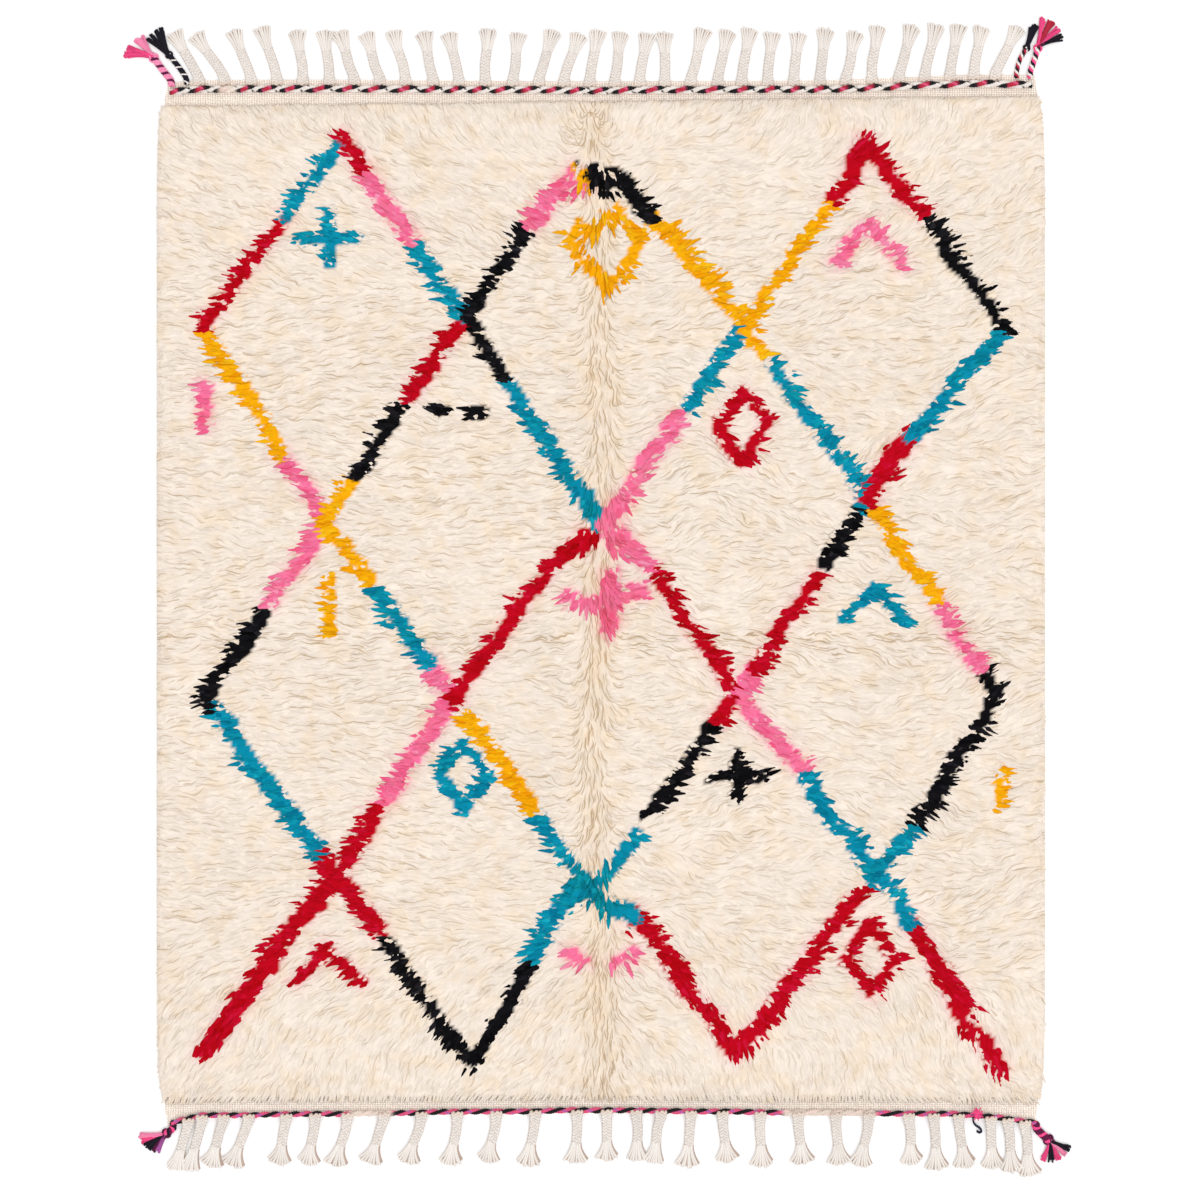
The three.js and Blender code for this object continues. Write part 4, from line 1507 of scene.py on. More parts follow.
@dataclass
class UnderWool:
    """The dense matted wool that the locks lie in, one soft closed body over the whole field."""

    trellis: Trellis
    comb: Comb
    columns: int = 220
    rows: int = 330
    sunk: float = 0.5
    edge_overhang: float = 8.0
    end_inset: float = 1.5
    end_fray: float = 2.5
    foot_height: float = 4.5
    wave: float = 1.5
    wave_length: float = 42.0
    wave_width: float = 13.0
    wave_bend: float = 5.0
    crease: float = 1.2
    crease_width: float = 0.2
    least_crease: float = 0.55
    ragged: Point = (3.5, 3.0)
    dye_reach: float = 16.0
    tone: float = 0.985
    tone_range: float = 0.025
    seed: int = 17

    def build(self) -> Piece:
        """Felts the body.

        Returns:
            The piece.
        """
        piece = grid("under_wool", self.columns, self.rows)
        bpy.ops.object.mode_set(mode="EDIT")
        bpy.ops.mesh.select_mode(type="EDGE")
        bpy.ops.mesh.select_all(action="DESELECT")
        bpy.ops.mesh.select_non_manifold()
        bpy.ops.mesh.extrude_edges_move(TRANSFORM_OT_translate={"value": (0, 0, -1)})
        bpy.ops.mesh.edge_face_add()
        bpy.ops.object.mode_set(mode="OBJECT")
        mesh = piece.data
        across, along, rise = points_of(mesh).T
        guess = across * ROUGH_HALF_WIDTH
        inset = self.end_inset + self.end_fray * Drift(41, 9).at(guess, 1000 * np.sign(along))
        low, high = bottom_end(guess) + inset, top_end(guess) - inset
        y = low + (high - low) * (along + 1) / 2
        x = across * (half_width(y) + self.edge_overhang)
        z = np.where(rise < -0.5, self.foot_height, self._height(x, y))
        move_points(mesh, np.column_stack([x, y, z]))
        lie = self.comb.heading(x, y, 0.0)
        note(mesh, "dye", Note.COLOUR, self._colour(x, y, lie))
        mark(mesh, self.comb.crease_shade(x, y), lie)
        mesh.shade_smooth()
        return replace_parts(dress(piece, MattedWool("matted_wool", "shag")), "shag_field")

    def _colour(self, x: np.ndarray, y: np.ndarray, lie: np.ndarray) -> np.ndarray:
        """The colour of the wool that lies at each place, knotted a lock's reach before it."""
        ragged = self.ragged[0] * Drift(33, 14, 6).at(x, y)
        ragged = ragged + self.ragged[1] * Drift(23, 40, 14).at(x, y)
        root_x, root_y = x - self.dye_reach * lie[:, 0], y - self.dye_reach * lie[:, 1]
        wool, stain, _ = self.trellis.knots(root_x, root_y, ragged)
        tone = self.tone + self.tone_range * Drift(34, 30, 12).at(x, y)
        return wool_colour(wool, stain, tone) * self.comb.parting_tinted(x, y)

    def _waves(self, x: np.ndarray, y: np.ndarray) -> np.ndarray:
        """The waves of the matted wool, from -1 to 1, along the way it is combed."""
        lengthways = self.comb.parting(x, y)
        bent = x + self.wave_bend * Drift(18, 30).at(x, y)
        across = Drift(self.seed, self.wave_length, self.wave_width).at(bent, y)
        along = Drift(self.seed + 2, self.wave_width, self.wave_length).at(x, y)
        return across * (1 - lengthways) + along * lengthways

    def _creases(self, x: np.ndarray, y: np.ndarray) -> np.ndarray:
        """The share of a crease at each place, deepest in the parting and the fold."""
        marked = np.maximum(self.comb.parting(x, y), self.comb.fold(y))
        strength = mix(self.least_crease, 1.0, marked)
        return strength * np.exp(-(self._waves(x, y) / self.crease_width) ** 2)

    def _height(self, x: np.ndarray, y: np.ndarray) -> np.ndarray:
        """How high the wool stands."""
        lumps = self.wave * self._waves(x, y) - self.crease * self._creases(x, y)
        return self.comb.surface(x, y) - self.sunk + lumps


@dataclass
class GroundWeave:
    """The cloth that the knots are tied on, with its flat-woven bands: one sheet of wool."""

    trellis: Trellis
    columns: int = 92
    field_rows: int = 122
    band_rows: int = 9
    thickness: float = 4.0
    band_inner: float = 745.0
    band_outer: float = 739.0
    selvedge: float = 0.6
    selvedge_wave: float = 5.0
    band_margin: float = 6.0
    tone_range: float = 0.03
    crease_angle: float = 40.0
    finish: FlatWeave = FlatWeave("ground_weave", "warp_yarn")

    def build(self) -> Piece:
        """Weaves the sheet.

        Returns:
            The piece, with the trellis showing at its back.
        """
        rows = self.field_rows + 2 * self.band_rows
        piece = grid("ground_weave", self.columns, rows)
        mesh = piece.data
        across, along, _ = points_of(mesh).T
        row = np.rint((along + 1) / 2 * rows)
        guess = across * ROUGH_HALF_WIDTH
        share = np.clip((row - self.band_rows) / self.field_rows, 0, 1)
        y = bottom_end(guess) + (top_end(guess) - bottom_end(guess)) * share
        above = np.clip((row - rows + self.band_rows) / self.band_rows, 0, 1)
        below = np.clip((self.band_rows - row) / self.band_rows, 0, 1)
        for beyond, edge in ((above, TOP_BAND_EDGE), (below, BOTTOM_BAND_EDGE)):
            y = y + (line_at(edge, guess) - y) * beyond
        inner = np.maximum(half_width(y), self.band_inner)
        half = mix(inner, self.band_outer, np.maximum(above, below))
        wavy = self.selvedge * np.sin(y / self.selvedge_wave)
        x = across * (half + np.where(np.abs(across) > 0.999, wavy, 0))
        move_points(mesh, np.column_stack([x, y, np.zeros(len(x))]))
        self._dye_faces(mesh)
        solid = piece.modifiers.new("thickness", "SOLIDIFY")
        solid.thickness = self.thickness * MM
        solid.offset = 1.0
        bpy.ops.object.modifier_apply(modifier=solid.name)
        mesh.update()
        mesh.shade_smooth()
        bpy.ops.object.shade_smooth_by_angle(angle=math.radians(self.crease_angle))
        return dress(piece, self.finish)

    def _dye_faces(self, mesh: bpy.types.Mesh) -> None:
        """Gives each face the colour of the knots that show through it."""
        centres = np.empty(len(mesh.polygons) * 3, np.float32)
        mesh.polygons.foreach_get("center", centres)
        centres = centres.reshape(-1, 3) / MM
        x, y = centres[:, 0] - PLACE.x, centres[:, 1] - PLACE.y
        wool, _, _ = self.trellis.knots(x, y, np.zeros(len(x)))
        band = (y > top_end(x) - self.band_margin) | (y < bottom_end(x) + self.band_margin)
        palette = np.array([yarn.value for yarn in YARNS])
        palette[YARNS.index(Yarn.CREAM)] = BACK_CREAM
        colour = np.where(band[:, None], np.array(WARP_SHADE), palette[wool])
        tones = 1 + self.tone_range * np.random.default_rng(12).uniform(-1, 1, len(x))
        colour = opaque(colour * tones[:, None])
        counts = np.array([p.loop_total for p in mesh.polygons])
        note(mesh, "dye", Note.COLOUR, np.repeat(colour, counts, axis=0), "CORNER")


def gone_along(route: np.ndarray) -> np.ndarray:
    """How far along a route each of its points is."""
    return np.concatenate([[0], np.linalg.norm(np.diff(route, axis=0), axis=1).cumsum()])


def spaced(route: np.ndarray, rings: int) -> np.ndarray:
    """A route's points at even steps along it."""
    gone = gone_along(route)
    even = np.linspace(0, gone[-1], rings)
    return np.column_stack([np.interp(even, gone, route[:, n]) for n in range(3)])


def even_route(corners: np.ndarray, rings: int) -> np.ndarray:
    """A soft curve through corners, at even steps.

    Args:
        corners: The points it is drawn towards, by three.
        rings: How many points it has.

    Returns:
        The curve, rings by three.
    """
    fine, passes, reach = 200, 3, 10
    line = spaced(corners, fine)
    for _ in range(passes):
        padded = np.concatenate([[line[0]] * reach, line, [line[-1]] * reach])
        means = [padded[n:n + 2 * reach + 1].mean(axis=0) for n in range(fine)]
        line[1:-1] = np.array(means)[1:-1]
    return spaced(line, rings)


def curves(starts: np.ndarray, bends: np.ndarray, tips: np.ndarray, rings: int) -> np.ndarray:
    """Yarns that set out towards their bends and end at their tips.

    Args:
        starts: Where each starts, by three.
        bends: The point that each is drawn towards.
        tips: Where each ends.
        rings: How many points each has.

    Returns:
        Their middles, yarns by rings by three.
    """
    share = np.linspace(0, 1, rings)[None, :, None]
    first, middle, last = (1 - share) ** 2, 2 * share * (1 - share), share ** 2
    return first * starts[:, None] + middle * bends[:, None] + last * tips[:, None]


def fan(starts: np.ndarray, heading: np.ndarray, tips: np.ndarray, rings: int) -> np.ndarray:
    """Yarn ends that leave a braid together and open to their tips.

    Args:
        starts: Where they leave, by three.
        heading: The level direction they leave in, by two.
        tips: Where they end, by three.
        rings: How many points each has.

    Returns:
        Their middles, ends by rings by three.
    """
    held = 0.42 * np.linalg.norm(tips - starts, axis=1, keepdims=True)
    return curves(starts, starts + np.array([*heading, 0.0]) * held, tips, rings)


def beside(route: np.ndarray, strands: int, pitch: float) -> tuple[np.ndarray, np.ndarray]:
    """How the strands of a braid go round its route.

    Args:
        route: The braid's own middle, rings by three.
        strands: How many strands it has.
        pitch: How far a strand goes before it is back where it was.

    Returns:
        The level direction across the route at each ring, and how far each strand has turned there.
    """
    side = unit(np.cross(UP, unit(np.gradient(route, axis=0))))
    turns = gone_along(route)[None] / pitch + np.arange(strands)[:, None] / strands
    return side, 2 * math.pi * turns


def braid(route: np.ndarray, wide: np.ndarray, tall: float, strands: int,
          pitch: float) -> np.ndarray:
    """The middles of a flat braid's strands.

    Args:
        route: The braid's own middle, rings by three, at even steps.
        wide: How far the strands swing to each side at each ring.
        tall: How far they rise and dip where they cross.
        strands: How many strands, an odd number.
        pitch: How far a strand goes before it is back where it was.

    Returns:
        The strands' middles, strands by rings by three.
    """
    side, turn = beside(route, strands, pitch)
    paths = route[None] + side[None] * (wide * np.sin(turn))[..., None]
    paths[..., 2] += tall * np.sin((strands - 1) * turn)
    return paths


@dataclass(frozen=True)
class PlaitRun:
    """Plaits rooted at even steps along a band."""

    count: int
    first: float
    last: float
    lean: float


TOP_PLAITS = tuple(PlaitRun(*run) for run in (
    (2, -685, -641, -50), (2, -596, -552, -30), (2, -508, -463, -14), (3, -420, -333, -27),
    (2, -286, -242, -18), (2, -197, -150, 6), (2, -106, -63, 24), (3, -19, 66, 11),
    (1, 109, 109, -3), (2, 153, 199, 22), (6, 240, 462, 13), (2, 508, 552, 23),
    (2, 595, 636, 14), (1, 672, 672, 38),
))
BOTTOM_PLAITS = tuple(PlaitRun(*run) for run in (
    (2, -703, -680, -26), (2, -643, -600, -27), (2, -536, -487, -14), (3, -432, -306, -26),
    (3, -245, -112, -14), (3, -41, 60, 2), (2, 102, 153, -10), (4, 207, 400, 6),
    (1, 456, 456, -13), (3, 524, 609, 10), (3, 664, 722, 7),
))


@dataclass(frozen=True)
class Plait:
    """One plait: where it is rooted, how far it leans to the side and how long it is."""

    root: float
    lean: float
    length: float


@dataclass
class PlaitedFringe:
    """The warp ends of one end of the rug, plaited and opened into loose plies."""

    end: End
    runs: tuple[PlaitRun, ...]
    band_edge: Line
    seed: int
    node: str
    root_inset: float
    root_height: float
    strands: int = 5
    braid_pitch: float = 26.0
    swing: float = 6.3
    root_swing: float = 8.6
    rise: float = 1.7
    strand_wide: float = 2.5
    strand_tall: float = 2.1
    rest_height: float = 4.1
    length: float = 88.0
    unevenness: float = 5.0
    plaited_share: float = 0.6
    root_share: float = 0.35
    root_fade: float = 0.16
    waist_from: float = 0.75
    waist: float = 0.10
    shade_range: float = 0.14
    bow: float = 2.5
    clearance: float = 2.0
    full_room: float = 20.0
    flare: float = 34.0
    steepest: float = 0.88
    crowding: float = 1.4
    plies: int = 13
    ply_radius: float = 1.9
    rings: int = 30
    ply_rings: int = 7
    finish: PliedYarn = PliedYarn("warp_wool", "warp_yarn")

    def plan(self) -> list[Plait]:
        """The plaits, as in the part's source."""
        plan: list[Plait] = []
        for run in self.runs:
            for k in range(run.count):
                n = len(plan)
                share = k / (run.count - 1) if run.count > 1 else 0
                plan.append(Plait(
                    mix(run.first, run.last, share),
                    run.lean + self.unevenness * uneven(n, self.seed),
                    self.length + self.unevenness * uneven(n, self.seed + 1),
                ))
        return plan

    def build(self) -> Piece:
        """Plaits every warp end.

        Returns:
            The piece.
        """
        skein = Skein(self.node + "_plaits")
        plan = self.plan()
        for n, plait in enumerate(plan):
            rng = np.random.default_rng(self.seed * 1000 + n)
            near = [plan[m] for m in (n - 1, n + 1) if 0 <= m < len(plan)]
            room = min(abs(other.root - plait.root) for other in near)
            tip_room = min(abs(other.root + other.lean - plait.root - plait.lean) for other in near)
            tight = min(1.0, (room - self.clearance) / self.full_room)
            route = self._plaited(skein, plait, tight, rng)
            self._opened(skein, plait, route, tight, tip_room, rng)
        piece = skein.bind(self.finish)
        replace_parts(piece, self.node)
        return piece

    def _plaited(self, skein: Skein, plait: Plait, tight: float,
                 rng: np.random.Generator) -> np.ndarray:
        """Adds the plaited part of one plait.

        Args:
            skein: What it is gathered in.
            plait: Its root, lean and length.
            tight: Its width, as a share of one that has room.
            rng: The source of unevenness.

        Returns:
            Its middle, rings by three.
        """
        facing = self.end.value
        root, lean, length = plait.root, plait.lean, plait.length
        start = float(line_at(self.band_edge, root))
        bow = rng.uniform(-self.bow, self.bow)
        route = even_route(np.array([
            (root, start - facing * self.root_inset, self.root_height),
            (root + lean * 0.01, start + facing * 4, mix(self.root_height, self.rest_height, 0.45)),
            (root + lean * 0.28 + bow, start + facing * length * 0.30, self.rest_height),
            (root + lean * self.plaited_share, start + facing * length * self.plaited_share,
             self.rest_height),
        ]), self.rings)
        gone = np.linspace(0, 1, self.rings)
        swing = mix(self.swing, self.root_swing, 1 - ease(gone / self.root_share))
        swing = swing * tight
        swing = swing * (1 - self.waist * past(gone, (self.waist_from, 1 - self.waist_from)))
        pitch = self.braid_pitch * rng.uniform(0.93, 1.07)
        paths = braid(route, swing, self.rise, self.strands, pitch)
        # Painted shade: each strand darker where it dips under the others, and on its sides by
        # edge.
        risen = (paths[..., 2] - route[None, :, 2]) / self.rise
        risen = 1 - self.shade_range * (1 - risen)
        dyes = self._shade(risen, rng.uniform(0.95, 1.04, (self.strands, 1)))
        dyes = tinted(dyes, WARP_SHADE, (1 - ease(gone / self.root_fade))[None, :, None])
        skein.lay(paths, self.strand_wide * tight ** 0.5, self.strand_tall, YARN_SECTION, dyes,
                  edge=0.9)
        return route

    def _opened(self, skein: Skein, plait: Plait, route: np.ndarray, tight: float,
                room: float, rng: np.random.Generator) -> None:
        """Adds the loose plies that one plait opens into.

        Args:
            skein: What they are gathered in.
            plait: Its root, lean and length.
            route: The plait's middle.
            tight: Its width, as a share of one that has room.
            room: How far its nearest neighbour's tip is.
            rng: The source of unevenness.
        """
        count, open_share = self.plies, 1 - self.plaited_share
        heading = unit(route[-1, :2] - route[-4, :2])
        reach = plait.length * open_share
        spread = min(self.flare, self.crowding * room) * 0.5 - self.ply_radius
        offs = np.linspace(-1, 1, count) + rng.uniform(-0.06, 0.06, count)
        low = np.arange(count) % 2 == 1
        starts = np.column_stack([
            route[-2, :2] + turned(heading) * (offs * self.swing * tight)[:, None],
            np.where(low, 2.8, 5.0) + rng.uniform(-0.9, 0.9, count),
        ])
        drift = unit(np.array([plait.lean * open_share, self.end.value * reach]))
        angle = (offs * math.asin(min(self.steepest, spread / reach)))[:, None]
        gone = (reach + rng.uniform(-3.0, 1.5, count) - 3.0 * low)[:, None]
        tips = np.column_stack([
            route[-1, :2] + (drift * np.cos(angle) + turned(drift) * np.sin(angle)) * gone,
            np.where(low, 2.0, 3.8) + rng.uniform(-0.3, 0.9, count),
        ])
        # Painted shade: the lower plies darker, where they lie under the upper ones.
        raised = np.where(low, 0.2, 1.0)[:, None] * np.ones(self.ply_rings)
        dyes = self._shade(raised, rng.uniform(0.96, 1.03, (count, 1)))
        radius = np.where(low, self.ply_radius * 1.2, self.ply_radius)[:, None]
        skein.lay(fan(starts, heading, tips, self.ply_rings), radius, radius * 0.8, YARN_SECTION,
                  dyes)

    @staticmethod
    def _shade(raised: np.ndarray, tone: np.ndarray) -> np.ndarray:
        """The dyes of yarns with painted light and shade: paler where they stand higher, darker
        towards the painted shadow tint where they lie lower.

        Args:
            raised: How high each ring of each yarn stands, from 0 to 1.
            tone: How pale each yarn is by itself.

        Returns:
            The colours, yarns by rings by four.
        """
        share = np.clip(raised, 0, 1)[..., None]
        return opaque(tinted(np.array(WARP_SHADOW_TINT), WARP, share) * tone[..., None])


@dataclass(frozen=True)
class CordStrand:
    """One strand of a cord: its yarns, the colour where it dips under, and its own height."""

    yarns: tuple[Colour, ...]
    under: Colour
    lift: float


@dataclass(frozen=True)
class Faded:
    """A stretch of a cord that has lost its dye."""

    first: float
    last: float


@dataclass
class TwinedCord:
    """A cord of two strands of dyed yarns, twined along the top of a band."""

    node: str
    band_edge: Line
    inset: float
    strands: tuple[CordStrand, ...]
    faded: tuple[Faded, ...]
    seed: int
    pitch: float = 44.0
    strand_swing: float = 2.8
    ply_swing: float = 2.2
    ply_radius: float = 2.4
    ply_pitch: float = 15.0
    flatness: float = 0.62
    end_inset: float = 6.0
    lift: float = 8.1
    ring_step: float = 3.6
    stray: float = 0.7
    slack: float = 0.22
    shows: Point = (0.42, 0.25)
    stitch: Point = (0.1, 0.4)
    stitch_pitch: float = 7.4
    fade: float = 0.9
    fade_reach: float = 12.0
    finish: PliedYarn = PliedYarn("cord_wool", "cord_yarn")

    def build(self) -> Piece:
        """Twines the cord.

        Returns:
            The piece.
        """
        rng = np.random.default_rng(self.seed)
        first = self.band_edge[0][0] + self.end_inset
        last = self.band_edge[-1][0] - self.end_inset
        x = np.linspace(first, last, int((last - first) / self.ring_step))
        facing = math.copysign(1.0, self.band_edge[0][1])
        y = line_at(self.band_edge, x) - facing * self.inset
        y = y + self.stray * Drift(self.seed, 55).at(x, x * 0)
        slack = 1 + self.slack * Drift(self.seed + 1, 70).at(x, x * 0)
        gone = np.cumsum(slack) * (x[1] - x[0])
        skein = Skein(self.node + "_twine")
        for n, strand in enumerate(self.strands):
            turn = 2 * math.pi * (gone / self.pitch + n / len(self.strands))
            for k, colour in enumerate(strand.yarns):
                spin = 2 * math.pi * (gone / self.ply_pitch + k / len(strand.yarns))
                out = -self.strand_swing * np.cos(turn) + self.ply_swing * np.cos(spin)
                high = self.strand_swing * np.sin(turn) + self.ply_swing * np.sin(spin)
                height = self.lift + strand.lift + self.flatness * high
                path = np.column_stack([x, y + out, height])[None]
                dye = np.array(colour)[None] * rng.uniform(0.9, 1.1)
                dye = tinted(dye, strand.under, 1 - past(np.sin(turn), self.shows)[:, None])
                if colour == CORD_BLACK and strand.under == CORD_WHITE:
                    over = np.sin(2 * math.pi * gone / self.stitch_pitch)
                    dye = tinted(dye, CORD_WHITE, past(over, self.stitch)[:, None])
                dye = tinted(dye, WARP_SHADE, self._worn(x)[:, None])
                skein.lay(path, self.ply_radius, self.ply_radius * 0.8, PLY_SECTION,
                          opaque(dye)[None])
        piece = skein.bind(self.finish)
        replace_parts(piece, self.node)
        return piece

    def _worn(self, x: np.ndarray) -> np.ndarray:
        """The share of its dye that the cord has lost at each place."""
        worn = np.zeros(x.shape)
        for stretch in self.faded:
            inside = ease((x - stretch.first) / self.fade_reach)
            worn = np.maximum(worn, inside * ease((stretch.last - x) / self.fade_reach))
        return self.fade * worn


@dataclass
class CornerTassel:
    """The ends of a cord's yarns: a short braid, a knot and a tuft of cut ends."""

    node: str
    band_edge: Line
    seat: float
    bend: Point
    head: Point
    width: float
    fan_from: float
    fan_to: float
    first_reach: float
    last_reach: float
    braid_dyes: tuple[Colour, ...]
    tuft_dyes: tuple[Colour | None, ...]
    slot: str
    twist: float = 15.0
    lock_spread: float = 7.5
    ends_per_lock: int = 15
    end_radius: float = 1.7
    height: float = 3.9
    seat_height: float = 6.2
    strand_swing: float = 0.50
    strand_rise: float = 0.36
    strand_wide: float = 0.50
    strand_tall: float = 0.42
    knot_size: float = 0.20
    rings: int = 32
    end_rings: int = 6

    def build(self) -> Piece:
        """Braids, knots and cuts the tassel.

        Returns:
            The piece.
        """
        rng = np.random.default_rng(int(abs(self.seat)) * 7 + len(self.node))
        facing = math.copysign(1.0, self.band_edge[0][1])
        seat_y = float(line_at(self.band_edge, self.seat))
        gauge = self.width / 2
        rest = max(self.height, 0.8 * gauge)
        route = even_route(np.array([
            (self.seat, seat_y - facing * 5, self.seat_height),
            (self.seat, seat_y + facing * 4, rest),
            (*self.bend, rest), (*self.head, rest),
        ]), self.rings)
        skein = Skein(self.node + "_yarns")
        side, turn = beside(route, len(self.braid_dyes), self.twist)
        swing, rise = self.strand_swing * gauge, self.strand_rise * gauge
        paths = route[None] + side[None] * (swing * np.sin(turn))[..., None]
        paths[..., 2] += rise * np.cos(turn)
        skein.lay(paths, gauge * self.strand_wide, gauge * self.strand_tall, PLY_SECTION,
                  np.array(self.braid_dyes))
        heading = unit(route[-1, :2] - route[-5, :2])
        self._tie(skein, heading)
        self._open(skein, heading, rng)
        piece = skein.bind(PliedYarn("tassel_wool_" + self.slot, self.slot))
        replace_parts(piece, self.node)
        return piece

    def _tie(self, skein: Skein, heading: np.ndarray) -> None:
        """Adds the knot at the head: a yarn led three times round itself."""
        turn = np.linspace(0, 2 * math.pi, 40)
        ring = self.width * self.knot_size * (2.1 + np.cos(3 * turn))
        along, across = ring * np.cos(2 * turn), ring * np.sin(2 * turn)
        level = np.outer(along, heading) + np.outer(across, turned(heading)) + self.head
        height = self.height + 0.3 + 1.7 * np.sin(3 * turn)
        skein.lay(np.column_stack([level, height])[None], 1.9, 1.7, PLY_SECTION,
                  np.array(self.braid_dyes[0])[None])

    def _open(self, skein: Skein, heading: np.ndarray, rng: np.random.Generator) -> None:
        """Adds the tuft of cut yarn ends, a lock for each colour and a gap for each None."""
        count, last = self.ends_per_lock, max(len(self.tuft_dyes) - 1, 1)
        for k, colour in enumerate(self.tuft_dyes):
            if colour is None:
                continue
            angle = math.radians(mix(self.fan_from, self.fan_to, k / last))
            reach = mix(self.first_reach, self.last_reach, k / last)
            spread = np.radians(rng.uniform(-self.lock_spread, self.lock_spread, count)) + angle
            length = reach + rng.uniform(-6, 1.5, count)
            tips = np.column_stack([
                self.head[0] + length * np.cos(spread), self.head[1] + length * np.sin(spread),
                rng.uniform(1.4, 5.6, count),
            ])
            starts = np.column_stack([
                self.head[0] + rng.uniform(-2.2, 2.2, count),
                self.head[1] + rng.uniform(-2.2, 2.2, count), rng.uniform(2.2, 6.0, count),
            ])
            out = unit(heading * 0.35 + np.array([math.cos(angle), math.sin(angle)]))
            dyes = opaque(np.array(colour)[None] * rng.uniform(0.78, 1.12, (count, 1)))
            radius = self.end_radius * rng.uniform(0.85, 1.15, (count, 1))
            skein.lay(fan(starts, out, tips, self.end_rings), radius, radius, YARN_SECTION, dyes)


def tassels() -> list[CornerTassel]:
    """Every corner tassel.

    Returns:
        The tassels, with their places from the part's source.
    """
    pink, rose, black = TASSEL_PINK, TASSEL_ROSE, TASSEL_BLACK
    white, plum, lilac = CORD_WHITE, TASSEL_PLUM, TASSEL_LILAC
    top, foot = TOP_BAND_EDGE, BOTTOM_BAND_EDGE
    return [
        CornerTassel("tassel_top_left_pink", top, -732, (-746, 902), (-763, 925), 13,
                     174, 120, 50, 42, (rose, plum, rose), (pink, pink, None, rose, rose),
                     "pink_yarn", lock_spread=6.5),
        CornerTassel("tassel_top_left_black", top, -706, (-716, 904), (-737, 930), 10,
                     144, 106, 45, 47, (black, black, black, black, white),
                     (black, black, black, black), "black_yarn", lock_spread=3.2),
        CornerTassel("tassel_top_right_black", top, 708, (713, 920), (726, 942), 9,
                     78, 68, 37, 42, (black, white, CORD_RED), (black, black), "black_yarn"),
        CornerTassel("tassel_top_right_pink", top, 731, (739, 922), (745, 942), 11,
                     82, 23, 52, 46, (pink, black, white), (pink, CORD_RED, pink, black),
                     "pink_yarn"),
        CornerTassel("tassel_bottom_left", foot, -729, (-733, -904), (-742, -910), 13,
                     -116, -177, 34, 46, (plum, pink, black),
                     (lilac, plum, black, black, pink, rose), "pink_yarn"),
        CornerTassel("tassel_bottom_right", foot, 741, (749, -908), (764, -921), 15,
                     -22, -106, 38, 37, (plum, pink, plum), (black, rose, pink, black, pink),
                     "pink_yarn"),
    ]


@dataclass
class Splice:
    """Where the bottom cord was spliced: a star of pink ends and a dark curl of yarn below it."""

    star: tuple[float, float, float] = (640.0, -875.0, 14.2)
    star_reach: float = 12.5
    star_ends: int = 26
    star_bow: float = 1.6
    star_radius: tuple[float, ...] = (1.35, 1.485, 1.35, 1.08, 0.675)
    curl: tuple[tuple[float, float, float], ...] = (
        (633, -882, 12.8), (634, -889, 12.0), (638, -895, 5.0), (646, -900, 3.0),
        (650, -906, 2.6), (646, -909, 2.6), (641, -906, 2.6),
    )
    curl_rings: int = 30
    curl_turns: int = 5
    curl_swing: float = 1.1
    curl_radius: float = 1.45
    curl_dye: Colour = linear(22, 24, 52)
    seed: int = 64

    def build(self) -> list[Piece]:
        """Makes the star and the curl.

        Returns:
            The two pieces.
        """
        star = self._star().bind(PliedYarn("tassel_wool_pink_yarn", "pink_yarn"))
        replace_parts(star, "splice_tuft")
        curl = self._curl().bind(PliedYarn("tassel_wool_black_yarn", "black_yarn"))
        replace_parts(curl, "splice_curl")
        return [star, curl]

    def _star(self) -> Skein:
        """The pink ends, spread all round."""
        rng = np.random.default_rng(self.seed)
        count = self.star_ends
        angle = np.linspace(0, 2 * math.pi, count, endpoint=False)
        angle = angle + rng.uniform(-0.1, 0.1, count)
        reach = self.star_reach * rng.uniform(0.62, 1.0, count)
        starts = np.tile(self.star, (count, 1))
        starts[:, :2] += rng.uniform(-1.5, 1.5, (count, 2))
        tips = starts + np.column_stack([
            reach * np.cos(angle), reach * np.sin(angle), rng.uniform(-1.8, 1.6, count),
        ])
        bends = (starts + tips) / 2 + UP * self.star_bow
        skein = Skein("splice_star")
        radius = np.array(self.star_radius)
        dyes = opaque(np.array(TASSEL_PINK)[None] * rng.uniform(0.85, 1.15, (count, 1)))
        paths = curves(starts, bends, tips, len(radius))
        skein.lay(paths, radius, radius, YARN_SECTION, dyes)
        return skein

    def _curl(self) -> Skein:
        """The dark yarn, of two plies."""
        route = even_route(np.array(self.curl), self.curl_rings)
        skein = Skein("splice_curl_yarn")
        for turn in (0.0, math.pi):
            spin = np.linspace(0, self.curl_turns * 2 * math.pi, self.curl_rings) + turn
            path = route.copy()
            path[:, 1] += self.curl_swing * np.cos(spin)
            path[:, 2] += self.curl_swing * np.sin(spin)
            skein.lay(path[None], self.curl_radius, self.curl_radius, PLY_SECTION, self.curl_dye)
        return skein


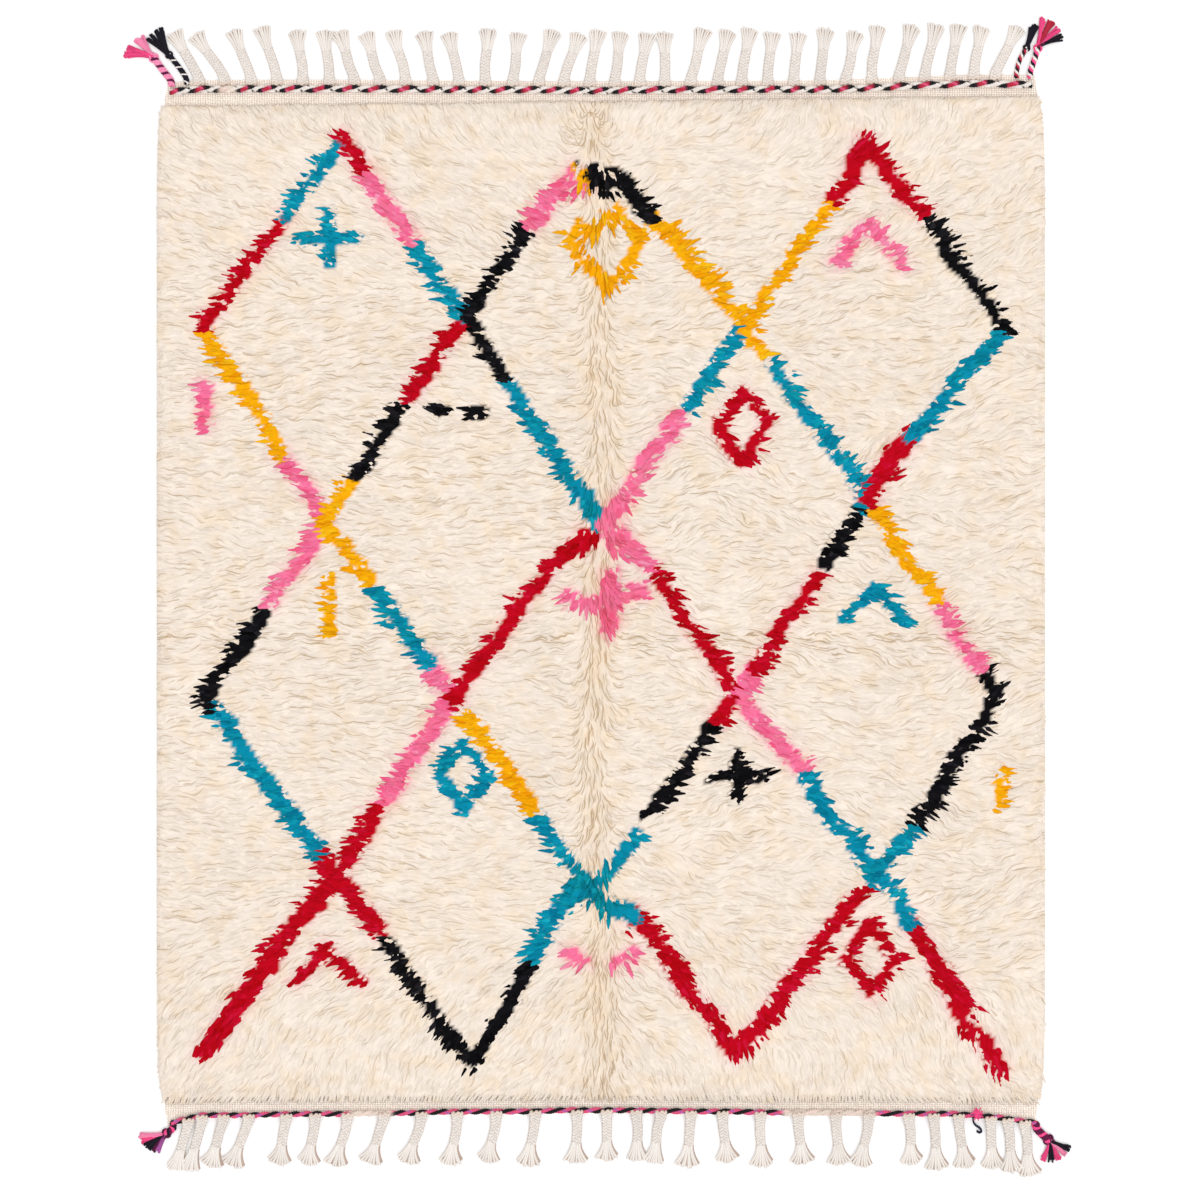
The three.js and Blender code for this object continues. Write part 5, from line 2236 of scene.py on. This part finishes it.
@dataclass
class Studio:
    """The pale floor, the soft lights and the camera straight above the rug."""

    floor_size: float = 14.0
    key_strength: float = 1.0
    fill_strength: float = 0.5
    sky_strength: float = 0.79
    lens: float = 100.0
    sensor: float = 36.0
    view_width: float = 2.04
    middle: Point = (0.0, 0.0)
    pile_height: float = 0.02

    def build(self) -> None:
        """Makes everything that isn't the rug."""
        self._floor()
        self._sun("key", self.key_strength, (38, 0, 28), 50)
        self._sun("fill", self.fill_strength, (-34, 0, 12), 70)
        world = bpy.data.worlds.new("sky")
        world.use_nodes = True
        sky = world.node_tree.nodes["Background"]
        sky.inputs["Color"].default_value = (1.0, 1.0, 1.0, 1.0)
        sky.inputs["Strength"].default_value = self.sky_strength
        bpy.context.scene.world = world
        bpy.context.scene.view_settings.view_transform = "Standard"
        self._camera()

    def _floor(self) -> None:
        """Makes the floor, which is not attached to the rug."""
        floor = grid("floor", 4, 4, self.floor_size)
        floor.data.materials.append(PaleFloor("pale_floor", "").material())

    def _sun(self, name: str, strength: float, turn: tuple[float, float, float],
             softness: float) -> None:
        """Adds a wide soft light, the same all over the floor."""
        lamp = bpy.data.lights.new(name, "SUN")
        lamp.energy = strength
        lamp.angle = math.radians(softness)
        light = bpy.data.objects.new(name, lamp)
        light.rotation_euler = tuple(math.radians(a) for a in turn)
        bpy.context.scene.collection.objects.link(light)

    def _camera(self) -> None:
        """Adds the camera, looking straight down as the photograph does."""
        lens = bpy.data.cameras.new("above")
        lens.lens = self.lens
        lens.sensor_width = self.sensor
        lens.dof.use_dof = False
        lens.clip_end = 50.0
        camera = bpy.data.objects.new("above", lens)
        away = self.view_width * self.lens / self.sensor
        camera.location = Vector((*self.middle, away + self.pile_height))
        bpy.context.scene.collection.objects.link(camera)
        bpy.context.scene.camera = camera


def main() -> None:
    """Builds the studio and every part of the rug."""
    logging.basicConfig(level=logging.INFO, format="%(name)s: %(message)s")
    LOG.info("the design's middle is at %.3f, %.3f mm in the frame", PLACE.x, PLACE.y)
    Studio(middle=((PLACE.x - 1.7) * MM, PLACE.y * MM)).build()
    trellis = Trellis()
    comb = Comb()
    on_cloth = Pile(trellis, comb).build()
    on_cloth.append(UnderWool(trellis, comb).build())
    on_cloth.append(PlaitedFringe(End.TOP, TOP_PLAITS, TOP_BAND_EDGE, 11, "fringe_top",
                                  9.0, 5.4).build())
    on_cloth.append(PlaitedFringe(End.BOTTOM, BOTTOM_PLAITS, BOTTOM_BAND_EDGE, 21, "fringe_bottom",
                                  5.0, 12.6, rise=2.0, strand_tall=2.3, flare=46.0,
                                  crowding=1.6, plies=16, ply_radius=2.2).build())
    black, red, pink, white = CORD_BLACK, CORD_RED, CORD_PINK, CORD_WHITE
    top_strands = (CordStrand((red, pink, red), black, 0.9),
                   CordStrand((white, white, white, black), white, -0.9))
    on_cloth.append(TwinedCord("edge_cord_top", TOP_BAND_EDGE, 16.0, top_strands,
                               (Faded(-656, -617),), 71).build())
    bottom_strands = (CordStrand((pink, TASSEL_LILAC, pink), pink, 0.0),
                      CordStrand((black, black, black), black, 0.2))
    on_cloth.append(TwinedCord("edge_cord_bottom", BOTTOM_BAND_EDGE, 5.0, bottom_strands,
                               (Faded(-435, -350), Faded(304, 474)), 81, pitch=42.0,
                               strand_swing=2.3, ply_swing=1.7, ply_radius=2.1).build())
    on_cloth += [tassel.build() for tassel in tassels()]
    on_cloth += Splice().build()
    ground = GroundWeave(trellis).build()
    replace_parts(ground, "shag_field", "fringe_top", "fringe_bottom")


if __name__ == "__main__":
    main()
